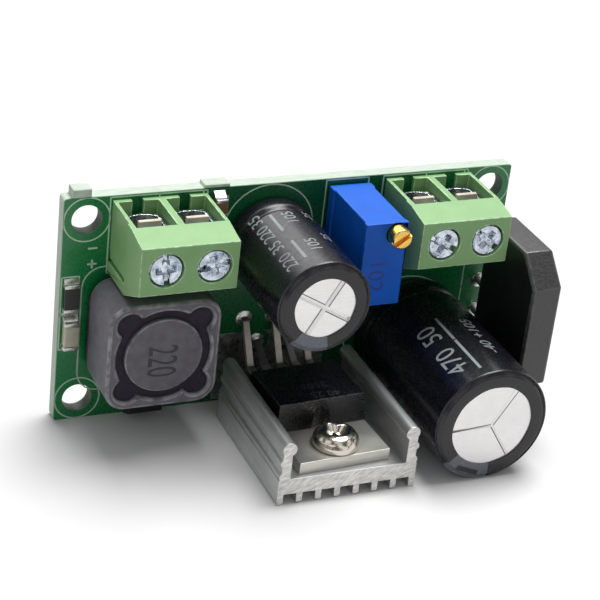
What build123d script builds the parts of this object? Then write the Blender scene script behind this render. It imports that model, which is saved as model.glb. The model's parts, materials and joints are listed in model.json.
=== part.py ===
from build123d import *
import os
from dataclasses import dataclass

# Step-down converter module: a board that stands on its long edge with its parts in front.
# Units are millimetres. The parts are drawn in board coordinates: x along the long edge, y up
# the board, z out from the component face. BOARD_FACE then turns them into the part's own
# frame, where +X runs to the input side, +Z points up to the wire entries and the component
# face looks along -Y. The origin is the middle of the four mounting holes, on that face.

os.makedirs("parts", exist_ok=True)

BOARD_FACE = Plane(origin=(0, 0, 0), x_dir=(1, 0, 0), z_dir=(0, -1, 0))

# Fits
sliding_gap = 0.05          # between a moving piece and the wall that guides it
thread_gap = 0.03           # radial, between a plain drawn thread and its tapped hole
seat_gap = 0.02             # between fixed pieces that touch on a curved face
lead_gap = 0.02             # round a lead in its solder joint

# Board
board_w = 51.0
board_h = 26.0
board_t = 1.6
board_corner_r = 0.4
mount_hole_r = 1.6
mount_inset = 2.5           # hole centre to the two board edges beside it
left_stub_w, left_stub_h, left_stub_x = 2.0, 0.9, 1.9          # x from the left edge
right_stub_w, right_stub_h, right_stub_x = 2.8, 0.35, 16.4

# Room between the pieces, shared out over the gaps where the board gets longer or higher
block_to_hole = 1.02        # terminal blocks to the mounting holes beside them
block_to_small_cap = 2.35
small_cap_to_trimmer = 1.215
trimmer_to_block = 1.905
chips_to_left = 0.42        # the column of the LED and its resistor
chips_to_inductor = 0.95
inductor_to_heatsink = 2.38
heatsink_to_big_cap = 1.46
big_cap_to_bridge = 0.11
bridge_to_right = 0.15
diode_to_bottom = 0.75
diode_to_inductor = 1.9
inductor_to_block = 0.25
block_to_top = 0.5

left = -board_w / 2
right = board_w / 2
top = board_h / 2
bottom = -board_h / 2
mount_x = board_w / 2 - mount_inset
mount_y = board_h / 2 - mount_inset

# Solder and leads
pin_reach = 1.3             # lead end behind the board
hole_play = 0.15            # radial room between a lead and its hole
land_ring = 0.42            # width of the tinned ring round a hole
land_t = 0.12
fillet_h = 0.95             # height of the solder cone behind the board
crown_w = 0.12              # solder round the lead at the top of the cone
joint_sides = 8             # lands are octagons
barrel_gap = 0.01

# Two-way screw terminals
pole_pitch = 5.08
poles = 2
terminal_depth = 8.0
terminal_h = 10.1           # out from the board
shoulder_h = 6.6            # height at which the entry face turns into the slope
slope_drop = 0.6
screw_face_h = 5.25
chin_h = 5.6                # height at which the underside starts to slope
pocket_w = 4.3
pocket_depth = 6.1
pocket_lip = 0.1            # entry's edge below the shoulder
back_wall_t = 0.6
slit_w = 1.2
slit_depth = 4.6
chamber_cover = 1.05        # top of the clamp chamber below the entry face
interlock_t = 0.2           # how far the front and the rail stand proud at the left side
interlock_h = 5.45
rail_w = 1.2
groove_w = 0.3
groove_depth = 0.45
rib_t = 0.3

# Terminal screws and clamps
clamp_screw_r = 1.5
clamp_head_r = 1.78
clamp_head_t = 1.4
clamp_head_recess = 0.55    # head below the screw face
clamp_screw_drop = 3.2      # screw axis below the entry face
head_bore_gap = 0.07
shank_bore_gap = 0.06
clamp_head_edge = 0.35      # chamfer of the head
clamp_slot_w = 0.55
clamp_slot_depth = 0.55
clamp_cross_reach = 1.15
clamp_cross_w = 0.8
clamp_cross_depth = 0.95
web_t = 0.5
cage_room = 0.1             # radial, between the screw and the sides of the cage
cage_wall_t = 0.35
cage_plate_t = 1.0
cage_len = 4.0
cage_travel = 2.0           # open to closed
cage_arch_rise = 0.5
cage_spare = 0.1            # room under the contact once the clamp is shut
contact_w = 2.4
contact_t = 0.5
contact_tip_drop = 0.45     # strip end below the entry face
contact_bend = 0.4          # pin behind the floor of the pocket
pin_w = 0.8
slot_room = 0.05            # round the contact in the housing
recess_taper = 0.7          # width of a cross recess at its floor, as a share of the top

# Trimmer
trimmer_w = 4.83
trimmer_len = 9.53
trimmer_h = 10.03
trimmer_setback = 0.65      # upper end below the top edge
trimmer_standoff = 0.35
trimmer_fill_t = 0.9
fill_drop = 0.1             # resin behind the lower edge of the housing
trimmer_wall_t = 0.5
trimmer_relief = 0.16
trimmer_lip_h = 0.7
trimmer_foot_h = 1.2
trimmer_screw_r = 1.1
trimmer_screw_inset = 1.27
trimmer_screw_out = 1.52
trimmer_screw_in = 2.4
trimmer_screw_edge = 0.15
trimmer_slot_w = 0.5
trimmer_slot_depth = 0.6
trimmer_screw_turn = 35     # slot's angle at rest
trimmer_pin_pitch = 2.54
trimmer_pin_r = 0.26

# Electrolytic capacitors
sleeve_t = 0.12
can_edge = 0.55
crimp_h = 2.4               # bead height above the foot
crimp_depth = 0.45
crimp_reach = 0.6           # half the height that the bead takes
vent_depth = 0.14
can_wall = 1.0              # curled rim round the bung
sleeve_hem = 0.6            # width of the sleeve's lip under the foot
bung_t = 1.2
can_foot = 0.25             # foot of the can above the board
small_cap_r = 4.93
small_cap_len = 15.6
small_cap_drop = 6.6        # axis below the top edge
small_cap_window_r = 3.3
small_cap_vent_w = 0.6
small_cap_vent_turn = 60    # angle of the first score line
small_cap_pitch = 5.0
small_cap_lead_r = 0.3
big_cap_r = 6.35
big_cap_len = 21.2
big_cap_rise = 6.5          # axis above the bottom edge
big_cap_window_r = 4.6
big_cap_vent_w = 0.3
big_cap_vent_turn = 62
big_cap_pitch = 5.0
big_cap_lead_r = 0.4

# Shielded inductor
inductor_w = 12.0
inductor_h = 7.8
inductor_corner_r = 2.2
inductor_wall = 0.9         # thinnest place of the shield
inductor_glue_w = 0.9       # gap between the shield and the core
inductor_lobe_r = 1.35
inductor_lobe_inset = 2.25  # lobe centre to the two sides beside it
inductor_glue_drop = 0.45
inductor_flange_t = 1.3
winding_depth = 1.9
winding_gap = 0.15
inductor_base_t = 1.0
inductor_tail_w = 4.6
inductor_tail_t = 0.25
inductor_tail_in = 3.4      # length under the base
inductor_tail_out = 0.1
inductor_land_out = 0.08    # lands past the tails and beside them

# Regulator
regulator_shift = -0.85     # leads off the middle of the heatsink
regulator_turn = 3.0        # tab and moulding turned on the board, as the screw left them
tab_w = 10.3
tab_t = 1.3
tab_free = 5.85             # bare tab ahead of the moulding
tab_hole_r = 1.8
tab_hole_inset = 2.5
tab_setback = 0.85          # tab end behind the front end of the heatsink
mould_w = 10.35
mould_len = 7.8
mould_t = 4.5               # underside of the tab to the top of the moulding
mould_draft = 5.0
mould_overlap = 0.6         # moulding behind the end of the tab
mould_notch_r = 1.9
mould_notch_depth = 0.35
regulator_pitch = 1.7
regulator_lead_w = 0.8
regulator_lead_t = 0.5
regulator_lead_drop = 1.9   # lead centre below the top of the moulding
lead_bend_r = 0.4
upper_row_y = 10.1          # holes of leads 1, 3 and 5, from the bottom edge
upper_row_bend = 3.0        # where these leads leave the level, out from the board
upper_row_turn = 0.45       # where they turn into their holes
lower_row_y = 7.1           # holes of leads 2 and 4
lower_row_bend = 3.1
lower_row_turn = 0.5
lead_hold = 0.4             # length of a lead inside the moulding

# Heatsink
heatsink_w = 15.45
heatsink_len = 17.5
heatsink_gap = 3.2          # end face to the board
heatsink_floor_y = 3.0
heatsink_base_t = 1.8
heatsink_wall_t = 1.0
heatsink_h = 7.3
heatsink_bead_r = 0.78
heatsink_lobe_r = 0.5
heatsink_lobes = 2
heatsink_lobe_start = 0.2   # first lobe above the floor, in steps from lobe to lobe
heatsink_bead_inset = 0.1
fin_count = 8
fin_t = 0.7
fin_short = 0.12            # inner fins end this much above the outer two
fin_tip_r = 0.2

# Heatsink screw
fixing_r = 1.5
fixing_len = 4.0            # under the head
fixing_head_r = 2.5
fixing_head_h = 1.7
fixing_crown = 1.0          # height of the rounded part of the head
fixing_crown_in = 1.0
fixing_cross_reach = 1.45
fixing_cross_w = 0.75
fixing_cross_depth = 1.1
fixing_turn = 20

# Bridge rectifier
bridge_t = 3.5
bridge_len = 14.7
bridge_h = 11.2
bridge_chamfer = 3.0
bridge_standoff = 3.1
bridge_rise = 6.4           # lower end above the bottom edge
bridge_pitch = 3.81
bridge_lead_r = 0.4
bridge_lead_in = 1.5        # length of a lead inside the moulding
bridge_edge_r = 0.25

# Tinned copper area under the heatsink
tinned_w = 12.9
tinned_h = 8.1
tinned_to_bottom = 0.3
tinned_t = 0.08
tinned_ring_gap = 0.45

# Chip parts and diode, each chip with its length along y, width and height
led_size = (3.2, 1.6, 1.1)
led_resistor_size = (3.2, 1.6, 0.55)
ceramic_size = (2.0, 1.25, 1.2)
feedback_size = (2.0, 1.25, 0.5)
led_rise = 10.6             # centre above the bottom edge
led_pitch = 4.17            # to the resistor above it
ceramic_to_block = 0.715
ceramic_drop = 1.9          # centre below the top edge
feedback_shift = -0.2       # off the middle of the trimmer
feedback_to_trimmer = 2.2
chip_end = 0.4
chip_land_out = 0.55
chip_solder_rise = 0.6      # height of the solder, as a share of the chip's
diode_len = 4.4
diode_w = 2.6
diode_t = 2.2
diode_lift = 0.1
diode_shift = 0.5           # off the middle of the inductor
diode_lead_w = 1.5
diode_lead_t = 0.22
diode_lead_out = 0.25       # lead's middle beside the moulding
diode_lead_bend = 0.15
diode_hold = 0.5            # length of a lead inside and under the moulding
diode_land_out = 0.9
diode_land_side = 0.15
diode_foot_t = 0.25         # moulding clear of the leads under it
diode_waist = 0.55          # lead plane, as a share of the thickness
diode_draft = 0.35


@dataclass(frozen=True)
class Pin:
    """A lead through the board: where it stands and half its size along x and along y."""

    x: float
    y: float
    half_x: float
    half_y: float
    is_round: bool

    @property
    def reach(self):
        """Radius that the lead takes in its hole."""
        if self.is_round:
            return self.half_x
        return (self.half_x**2 + self.half_y**2) ** 0.5

    @property
    def hole_r(self):
        return self.reach + hole_play


def round_pin(x, y, r):
    return Pin(x, y, r, r, True)


def strip_pin(x, y, width, thickness):
    return Pin(x, y, width / 2, thickness / 2, False)


def lay_out(start, end, gaps, sizes):
    """Middles of pieces in a row, with the room that is left shared out over the gaps."""
    stretch = (end - start - sum(sizes)) / sum(gaps)
    middles = []
    at = start
    for gap, size in zip(gaps, sizes):
        at += gap * stretch + size / 2
        middles.append(at)
        at += size / 2
    return middles


# Places worked out from the sizes above
terminal_w = poles * pole_pitch
pole_places = [(k - (poles - 1) / 2) * pole_pitch for k in range(poles)]
sleeve_build = sleeve_t + seat_gap
hole_edge = mount_inset + mount_hole_r
output_x, small_cap_x, trimmer_x, input_x = lay_out(
    left + hole_edge,
    right - hole_edge,
    (block_to_hole, block_to_small_cap, small_cap_to_trimmer, trimmer_to_block, block_to_hole),
    (terminal_w, 2 * (small_cap_r + sleeve_build), trimmer_w, terminal_w),
)
chips_x, inductor_x, heatsink_x, big_cap_x, bridge_x = lay_out(
    left,
    right,
    (
        chips_to_left,
        chips_to_inductor,
        inductor_to_heatsink,
        heatsink_to_big_cap,
        big_cap_to_bridge,
        bridge_to_right,
    ),
    (led_size[1], inductor_w, heatsink_w, 2 * (big_cap_r + sleeve_build), bridge_t),
)
diode_y, inductor_y, block_y = lay_out(
    bottom,
    top,
    (diode_to_bottom, diode_to_inductor, inductor_to_block, block_to_top),
    (diode_w, inductor_w, terminal_depth),
)
block_places = {"output": output_x, "input": input_x}
small_cap_mid = (small_cap_x, top - small_cap_drop)
big_cap_mid = (big_cap_x, bottom + big_cap_rise)
diode_x = inductor_x + diode_shift

entry_y = block_y + terminal_depth / 2
clamp_axis_y = entry_y - clamp_screw_drop
head_top = terminal_h - clamp_head_recess
head_under = head_top - clamp_head_t
web_top = head_under - sliding_gap
chamber_top = web_top - web_t
cage_top_closed = chamber_top - sliding_gap
cage_top_open = cage_top_closed - cage_travel
contact_top = cage_top_open - cage_plate_t - sliding_gap
contact_under = contact_top - contact_t
cage_floor_in = contact_under - cage_travel - cage_spare - cage_arch_rise
cage_bottom = cage_floor_in - cage_wall_t
cage_half_in = clamp_screw_r + cage_room
cage_half_out = cage_half_in + cage_wall_t
contact_pin_y = entry_y - pocket_depth - slot_room - contact_t / 2 - contact_bend

trimmer_top_y = top - trimmer_setback
trimmer_mid_y = trimmer_top_y - trimmer_len / 2
trimmer_screw_x = trimmer_x + trimmer_w / 2 - trimmer_screw_inset
trimmer_screw_y = trimmer_top_y - trimmer_screw_inset

inductor_bore_r = inductor_w / 2 - inductor_wall
inductor_core_r = inductor_bore_r - inductor_glue_w
inductor_web_r = inductor_core_r - winding_depth

floor_y = bottom + heatsink_floor_y
heatsink_front = heatsink_gap + heatsink_len
regulator_x = heatsink_x + regulator_shift
mould_back = heatsink_front - tab_setback - tab_free - mould_len
screw_from_back = mould_len + tab_free - tab_hole_inset
tab_top_y = floor_y + tab_t
mould_top_y = floor_y + mould_t
lead_level_y = mould_top_y - regulator_lead_drop
# Tab and moulding are drawn from the middle of the moulding's back face and laid by this turn.
regulator_back = Pos(regulator_x, 0, mould_back) * Rot(0, regulator_turn, 0)
fixing_x = (regulator_back * Pos(0, 0, screw_from_back)).position.X
fixing_z = (regulator_back * Pos(0, 0, screw_from_back)).position.Z

bridge_low_y = bottom + bridge_rise
bridge_mid_y = bridge_low_y + bridge_len / 2


@dataclass(frozen=True)
class Chip:
    """A chip part that stands along y on the component face."""

    name: str
    x: float
    y: float
    length: float
    width: float
    height: float


block_end_x = output_x + terminal_w / 2
chips = (
    Chip("led_resistor", chips_x, bottom + led_rise + led_pitch, *led_resistor_size),
    Chip("status_led", chips_x, bottom + led_rise, *led_size),
    Chip("ceramic_capacitor", block_end_x + ceramic_to_block + ceramic_size[1] / 2,
         top - ceramic_drop, *ceramic_size),
    Chip("feedback_resistor", trimmer_x + feedback_shift,
         trimmer_top_y - trimmer_len - feedback_to_trimmer - feedback_size[0] / 2, *feedback_size),
)


def contact_pins():
    return [
        strip_pin(mid + at, contact_pin_y, pin_w, contact_t)
        for mid in block_places.values()
        for at in pole_places
    ]


def capacitor_pins(x, y, pitch, r):
    return [round_pin(x - pitch / 2, y, r), round_pin(x + pitch / 2, y, r)]


def trimmer_pins():
    return [
        round_pin(trimmer_x, trimmer_mid_y + k * trimmer_pin_pitch, trimmer_pin_r)
        for k in (-1, 0, 1)
    ]


def regulator_pins():
    pins = []
    for k in range(5):
        row = upper_row_y if k % 2 == 0 else lower_row_y
        x = regulator_x + (k - 2) * regulator_pitch
        pins.append(strip_pin(x, bottom + row, regulator_lead_w, regulator_lead_t))
    return pins


def bridge_pins():
    return [
        round_pin(bridge_x, bridge_mid_y + (k - 1.5) * bridge_pitch, bridge_lead_r)
        for k in range(4)
    ]


all_pins = (
    contact_pins()
    + capacitor_pins(*small_cap_mid, small_cap_pitch, small_cap_lead_r)
    + capacitor_pins(*big_cap_mid, big_cap_pitch, big_cap_lead_r)
    + trimmer_pins()
    + regulator_pins()
    + bridge_pins()
)


def block(x0, x1, y0, y1, z0, z1):
    """A box between two corners."""
    return Pos((x0 + x1) / 2, (y0 + y1) / 2, (z0 + z1) / 2) * Box(x1 - x0, y1 - y0, z1 - z0)


def rod(x, y, z0, z1, r):
    """A cylinder along z from z0 to z1."""
    return Pos(x, y, (z0 + z1) / 2) * Cylinder(r, z1 - z0)


def group(shapes):
    """Separate solids kept together as one piece of work."""
    joined = shapes[0]
    for shape in shapes[1:]:
        joined = joined + shape
    return joined


def turned(points):
    """A solid of revolution about the z axis, from (radius, z) points."""
    outline = Plane.XZ * make_face(Polyline(*points, close=True))
    return revolve(outline, axis=Axis.Z)


def side_slab(points, x0, x1):
    """A slab between x0 and x1 whose outline is given as (y, z) points."""
    outline = Plane.YZ.offset(x0) * make_face(Polyline(*points, close=True))
    return extrude(outline, amount=x1 - x0)


def pin_rod(pin, z0, z1, grow=0.0):
    """The straight stretch of a lead, or its hole where grow is positive."""
    if pin.is_round:
        return rod(pin.x, pin.y, z0, z1, pin.half_x + grow)
    a, b = pin.half_x + grow, pin.half_y + grow
    return block(pin.x - a, pin.x + a, pin.y - b, pin.y + b, z0, z1)


def circuit_board():
    """Glass-fibre board with its panel stubs, mounting holes and lead holes."""
    blank = fillet(Rectangle(board_w, board_h).vertices(), board_corner_r)
    stubs = (
        (left + left_stub_x, left_stub_w, left_stub_h),
        (left + right_stub_x, right_stub_w, right_stub_h),
    )
    for x, width, height in stubs:
        blank += Pos(x, top) * Rectangle(width, 2 * height)
    for sx in (-1, 1):
        for sy in (-1, 1):
            blank -= Pos(sx * mount_x, sy * mount_y) * Circle(mount_hole_r)
    for pin in all_pins:
        blank -= Pos(pin.x, pin.y) * Circle(pin.hole_r)
    return extrude(blank, amount=-board_t)


def octagon(r):
    """A land's outline, with flats along the edges of the board."""
    return Rot(0, 0, 180 / joint_sides) * RegularPolygon(r, joint_sides)


def lead_bore(pin, z0, z1):
    """Hole of a lead at the origin; a round lead gets one with as many sides as its land."""
    if not pin.is_round:
        return pin_rod(Pin(0, 0, pin.half_x, pin.half_y, False), z0, z1, lead_gap)
    bore = RegularPolygon(pin.half_x + lead_gap, joint_sides, major_radius=False)
    return Pos(0, 0, z0) * extrude(Rot(0, 0, 180 / joint_sides) * bore, amount=z1 - z0)


def solder_joint(pin):
    """A tinned land in front, a barrel in the hole and a cone round the lead behind."""
    land = octagon(pin.hole_r + land_ring)
    back = -board_t - land_t
    joint = extrude(land, amount=land_t)
    joint += Pos(0, 0, -board_t) * extrude(octagon(pin.hole_r - barrel_gap), amount=board_t)
    joint += Pos(0, 0, back) * extrude(land, amount=land_t)
    joint += loft([Pos(0, 0, back) * land, Pos(0, 0, back - fillet_h) * octagon(pin.reach + crown_w)])
    return Pos(pin.x, pin.y) * (joint - lead_bore(pin, back - 2 * fillet_h, 2 * land_t))


def solder_joints():
    return group([solder_joint(pin) for pin in all_pins])


def tinned_area():
    """Bare tinned copper behind the heatsink, cut back round the leads that pass it."""
    low = bottom + tinned_to_bottom
    a = tinned_w / 2
    plate = block(regulator_x - a, regulator_x + a, low, low + tinned_h, 0, tinned_t)
    for pin in all_pins:
        plate -= rod(pin.x, pin.y, -1, 1, pin.hole_r + land_ring + tinned_ring_gap)
    return plate


# Screw terminals
def terminal_housing(mid_x):
    """Moulded block: wire pockets open at the top, screw bores open at the front."""
    y0 = entry_y - terminal_depth
    face_top = entry_y - slope_drop
    outline = [
        (entry_y, 0),
        (entry_y, shoulder_h),
        (face_top, terminal_h),
        (face_top - screw_face_h, terminal_h),
        (y0, chin_h),
        (y0, 0),
    ]
    x0, x1 = mid_x - terminal_w / 2, mid_x + terminal_w / 2
    body = side_slab(outline, x0, x1)
    proud = side_slab(outline, x0 - interlock_t, x0)
    proud -= block(x0 - 1, x0, y0 + rail_w, entry_y + 1, -1, interlock_h)
    body += proud
    groove_y = y0 + rail_w
    body -= block(x0 - 1, x0 + groove_depth, groove_y, groove_y + groove_w, -1, interlock_h)
    body += block(x1, x1 + rib_t, groove_y, groove_y + groove_w, 0, interlock_h)
    for at in pole_places:
        x = mid_x + at
        a, b = x - pocket_w / 2, x + pocket_w / 2
        floor = entry_y - pocket_depth
        body -= block(a, b, floor, entry_y + 1, back_wall_t, shoulder_h - pocket_lip)
        body -= block(a, b, floor, entry_y - chamber_cover, back_wall_t, chamber_top)
        body -= block(x - slit_w / 2, x + slit_w / 2, entry_y - slit_depth, entry_y + 1, -1, 1)
        shank_bore = clamp_screw_r + shank_bore_gap
        body -= rod(x, clamp_axis_y, chamber_top - web_t, terminal_h + 1, shank_bore)
        body -= rod(x, clamp_axis_y, web_top, terminal_h + 1, clamp_head_r + head_bore_gap)
        body -= contact_strip(x, slot_room)
    reach = strip_pin(0, 0, pin_w, contact_t).hole_r + land_ring + slot_room
    relief_t = land_t + slot_room
    body -= block(x0 - 1, x1 + 1, contact_pin_y - reach, contact_pin_y + reach, -1, relief_t)
    return body


def contact_strip(x, grow=0.0):
    """Fixed contact: a strip through the clamp, bent to a pin; grow makes its slot."""
    a = contact_w / 2 + grow
    p = pin_w / 2 + grow
    tip = entry_y - contact_tip_drop
    y_low = contact_pin_y - contact_t / 2 - grow
    y_high = contact_pin_y + contact_t / 2 + grow
    z_end = -board_t - pin_reach if grow == 0 else -1
    strip = block(x - a, x + a, y_low, tip, contact_under - grow, contact_top + grow)
    return strip + block(x - p, x + p, y_low, y_high, z_end, contact_top + grow)


def terminal_contacts(mid_x):
    return group([contact_strip(mid_x + at) for at in pole_places])


def cross_recess(z_top, reach, width, depth):
    """A four-armed driver recess that narrows towards its floor, to be cut from a head."""
    arms = Rectangle(2 * reach, width) + Rectangle(width, 2 * reach)
    low = recess_taper * width
    floor = Rectangle(reach, low) + Rectangle(low, reach)
    return loft([Pos(0, 0, z_top + 0.01) * arms, Pos(0, 0, z_top - depth) * floor])


def terminal_screw(x, turn):
    """Clamp screw with a head for slotted and cross drivers, its axis along z."""
    edge = clamp_head_edge
    screw = turned(
        [
            (0, contact_top + sliding_gap),
            (clamp_screw_r, contact_top + sliding_gap),
            (clamp_screw_r, head_under),
            (clamp_head_r, head_under),
            (clamp_head_r, head_top - edge),
            (clamp_head_r - edge, head_top),
            (0, head_top),
        ]
    )
    screw -= Pos(0, 0, head_top) * Box(3 * clamp_head_r, clamp_slot_w, 2 * clamp_slot_depth)
    screw -= cross_recess(head_top, clamp_cross_reach, clamp_cross_w, clamp_cross_depth)
    return Pos(x, clamp_axis_y, 0) * Rot(0, 0, turn) * screw


def clamp_outline(half, z_low, z_high, rise):
    """Closed outline in (x, z) with an arched lower side."""
    line = Polyline((-half, z_low + rise), (-half, z_high), (half, z_high), (half, z_low + rise))
    arch = ThreePointArc((half, z_low + rise), (0, z_low), (-half, z_low + rise))
    return make_face(line + arch)


def clamp_cage(x):
    """Rising clamp: a bent strip with an arched floor and a tapped plate on top."""
    outer = clamp_outline(cage_half_out, cage_bottom, cage_top_open, cage_arch_rise)
    inner_top = cage_top_open - cage_plate_t
    inner = clamp_outline(cage_half_in, cage_floor_in, inner_top, cage_arch_rise)
    ring = extrude(Plane.XZ * (outer - inner), amount=cage_len / 2, both=True)
    cage = Pos(x, clamp_axis_y, 0) * ring
    middle = (inner_top + cage_floor_in) / 2
    return cage - rod(x, clamp_axis_y, middle, cage_top_open + 1, clamp_screw_r + thread_gap)


# Trimmer
def trimmer_screw_bore():
    start = trimmer_h - trimmer_screw_in - sliding_gap
    r = trimmer_screw_r + sliding_gap
    return rod(trimmer_screw_x, trimmer_screw_y, start, trimmer_h + 1, r)


def trimmer_housing():
    """Moulded box, open towards the board, with relieved sides between foot and lip."""
    half_w, half_l = trimmer_w / 2, trimmer_len / 2
    relief_low = trimmer_standoff + trimmer_foot_h
    relief_high = trimmer_h - trimmer_lip_h
    box = Pos(0, 0, trimmer_standoff) * extrude(
        Rectangle(trimmer_w, trimmer_len), amount=trimmer_h - trimmer_standoff
    )
    for side in (-1, 1):
        x_in = side * (half_w - trimmer_relief)
        x0, x1 = sorted((x_in, side * (half_w + 1)))
        box -= block(x0, x1, -half_l - 1, half_l + 1, relief_low, relief_high)
    wall = trimmer_wall_t
    a, b = half_w - wall, half_l - wall
    box -= block(-a, a, -b, b, -1, trimmer_standoff + trimmer_fill_t)
    return Pos(trimmer_x, trimmer_mid_y, 0) * box - trimmer_screw_bore()


def trimmer_fill():
    """Cast resin that closes the underside, with the pins through it."""
    a = trimmer_w / 2 - trimmer_wall_t - seat_gap
    b = trimmer_len / 2 - trimmer_wall_t - seat_gap
    z1 = trimmer_standoff + trimmer_fill_t - seat_gap
    fill = Pos(trimmer_x, trimmer_mid_y, 0) * block(-a, a, -b, b, trimmer_standoff + fill_drop, z1)
    for pin in trimmer_pins():
        fill -= pin_rod(pin, -1, trimmer_h, lead_gap)
    return fill


def trimmer_leads():
    z1 = trimmer_standoff + trimmer_fill_t - seat_gap
    return group([pin_rod(pin, -board_t - pin_reach, z1) for pin in trimmer_pins()])


def trimmer_screw():
    """Brass adjusting screw with a slot across its end."""
    z0 = trimmer_h - trimmer_screw_in
    z1 = trimmer_h + trimmer_screw_out
    r = trimmer_screw_r
    edge = trimmer_screw_edge
    screw = turned([(0, z0), (r, z0), (r, z1 - edge), (r - edge, z1), (0, z1)])
    slot = Box(3 * r, trimmer_slot_w, 2 * trimmer_slot_depth)
    screw -= Pos(0, 0, z1) * Rot(0, 0, trimmer_screw_turn) * slot
    return Pos(trimmer_screw_x, trimmer_screw_y, 0) * screw


# Electrolytic capacitors
def can_profile(r, length, inset):
    """Half section of the dressed can, r outside its sleeve, moved inwards by inset."""
    z0, z1 = can_foot + inset, length - inset
    return [
        (0, z0),
        (r - inset, z0),
        (r - inset, can_foot + crimp_h - crimp_reach),
        (r - inset - crimp_depth, can_foot + crimp_h),
        (r - inset, can_foot + crimp_h + crimp_reach),
        (r - inset, z1 - can_edge),
        (r - inset - can_edge, z1),
        (0, z1),
    ]


def vent_line(width, z_top, reach):
    """A V-shaped score line from the middle outwards along x, to be cut from a can's top."""
    section = Polyline((-width / 2, 0), (width / 2, 0), (0, -vent_depth), close=True)
    return Pos(0, 0, z_top) * extrude(Plane.YZ * make_face(section), amount=reach)


def capacitor_can(mid, r, length, window_r, vent_turns, vent_w):
    """Sealed aluminium can with a scored top, recessed below for its rubber bung."""
    inset = sleeve_t + seat_gap
    can = turned(can_profile(r + inset, length, inset))
    can -= rod(0, 0, -1, can_foot + inset + bung_t, r - can_wall)
    for turn in vent_turns:
        can -= Rot(0, 0, turn) * vent_line(vent_w, length - inset, window_r)
    return Pos(*mid, 0) * can


def capacitor_sleeve(mid, r, length, window_r):
    """Shrunk plastic sleeve with a lip over the top edge and another under the foot."""
    outside = r + sleeve_build
    sleeve = turned(can_profile(outside, length, 0))
    sleeve -= turned(can_profile(outside, length, sleeve_t))
    sleeve -= rod(0, 0, length / 2, length + 1, window_r)
    sleeve -= rod(0, 0, -1, length / 2, r - sleeve_hem)
    return Pos(*mid, 0) * sleeve


def capacitor_bung(mid, r, pins):
    """Rubber bung that closes the can, with the leads through it."""
    z1 = can_foot + sleeve_t + bung_t
    bung = rod(*mid, land_t, z1, r - can_wall - seat_gap)
    for pin in pins:
        bung -= pin_rod(pin, -1, z1 + 1, lead_gap)
    return bung


def capacitor_leads(pins):
    z1 = can_foot + sleeve_t + bung_t
    return group([pin_rod(pin, -board_t - pin_reach, z1) for pin in pins])


# Shielded inductor
def inductor_place(shape):
    return Pos(inductor_x, inductor_y, 0) * shape


def inductor_bore(gap=0.0):
    """Outline of the shield's opening, or less a gap: a circle with four corner lobes."""
    bore = Circle(inductor_bore_r - gap)
    at = inductor_w / 2 - inductor_lobe_inset
    for sx in (-1, 1):
        for sy in (-1, 1):
            bore += Pos(sx * at, sy * at) * Circle(inductor_lobe_r - gap)
    return bore


def inductor_shield():
    outline = fillet(Rectangle(inductor_w, inductor_w).vertices(), inductor_corner_r)
    wall = extrude(outline - inductor_bore(), amount=inductor_h - inductor_base_t)
    return inductor_place(Pos(0, 0, inductor_base_t) * wall)


def inductor_core():
    """Ferrite drum: two flanges on a thinner web."""
    z0, z1 = inductor_base_t, inductor_h
    r, web, t = inductor_core_r, inductor_web_r, inductor_flange_t
    drum = [(0, z0), (r, z0), (r, z0 + t), (web, z0 + t), (web, z1 - t), (r, z1 - t), (r, z1), (0, z1)]
    return inductor_place(turned(drum))


def inductor_winding():
    """Copper wire on the drum, drawn as one coil."""
    z0 = inductor_base_t + inductor_flange_t + seat_gap
    z1 = inductor_h - inductor_flange_t - seat_gap
    r0, r1 = inductor_web_r + seat_gap, inductor_core_r - winding_gap
    return inductor_place(turned([(r0, z0), (r1, z0), (r1, z1), (r0, z1)]))


def inductor_glue():
    """Potting between the drum's upper flange and the shield, a little below both."""
    z1 = inductor_h - inductor_glue_drop
    z0 = inductor_h - inductor_flange_t
    ring = inductor_bore(seat_gap) - Circle(inductor_core_r + seat_gap)
    return inductor_place(Pos(0, 0, z0) * extrude(ring, amount=z1 - z0))


def inductor_base():
    """Moulded plate under the shield, on the two soldering tails."""
    z0 = 2 * inductor_tail_t
    plate = chamfer(Rectangle(inductor_w, inductor_w).vertices(), inductor_corner_r)
    return inductor_place(Pos(0, 0, z0) * extrude(plate, amount=inductor_base_t - seat_gap - z0))


def inductor_tails():
    """Two tinned strips under the base that are soldered to the board."""
    inner = inductor_w / 2 - inductor_tail_in
    outer = inductor_w / 2 + inductor_tail_out
    a = inductor_tail_w / 2
    tails = []
    for side in (-1, 1):
        y0, y1 = sorted((side * inner, side * outer))
        tail = block(-a, a, y0, y1, inductor_tail_t, 2 * inductor_tail_t - seat_gap)
        tails.append(inductor_place(tail))
    return group(tails)


# Regulator and heatsink
def regulator_tab():
    """Tinned copper tab under the moulding, with its fixing hole."""
    half = tab_w / 2
    tab = block(-half, half, floor_y, tab_top_y, mould_overlap, mould_len + tab_free)
    hole = Pos(0, floor_y, screw_from_back) * Rot(90, 0, 0) * Cylinder(tab_hole_r, 4 * tab_t)
    return regulator_back * (tab - hole)


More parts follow.
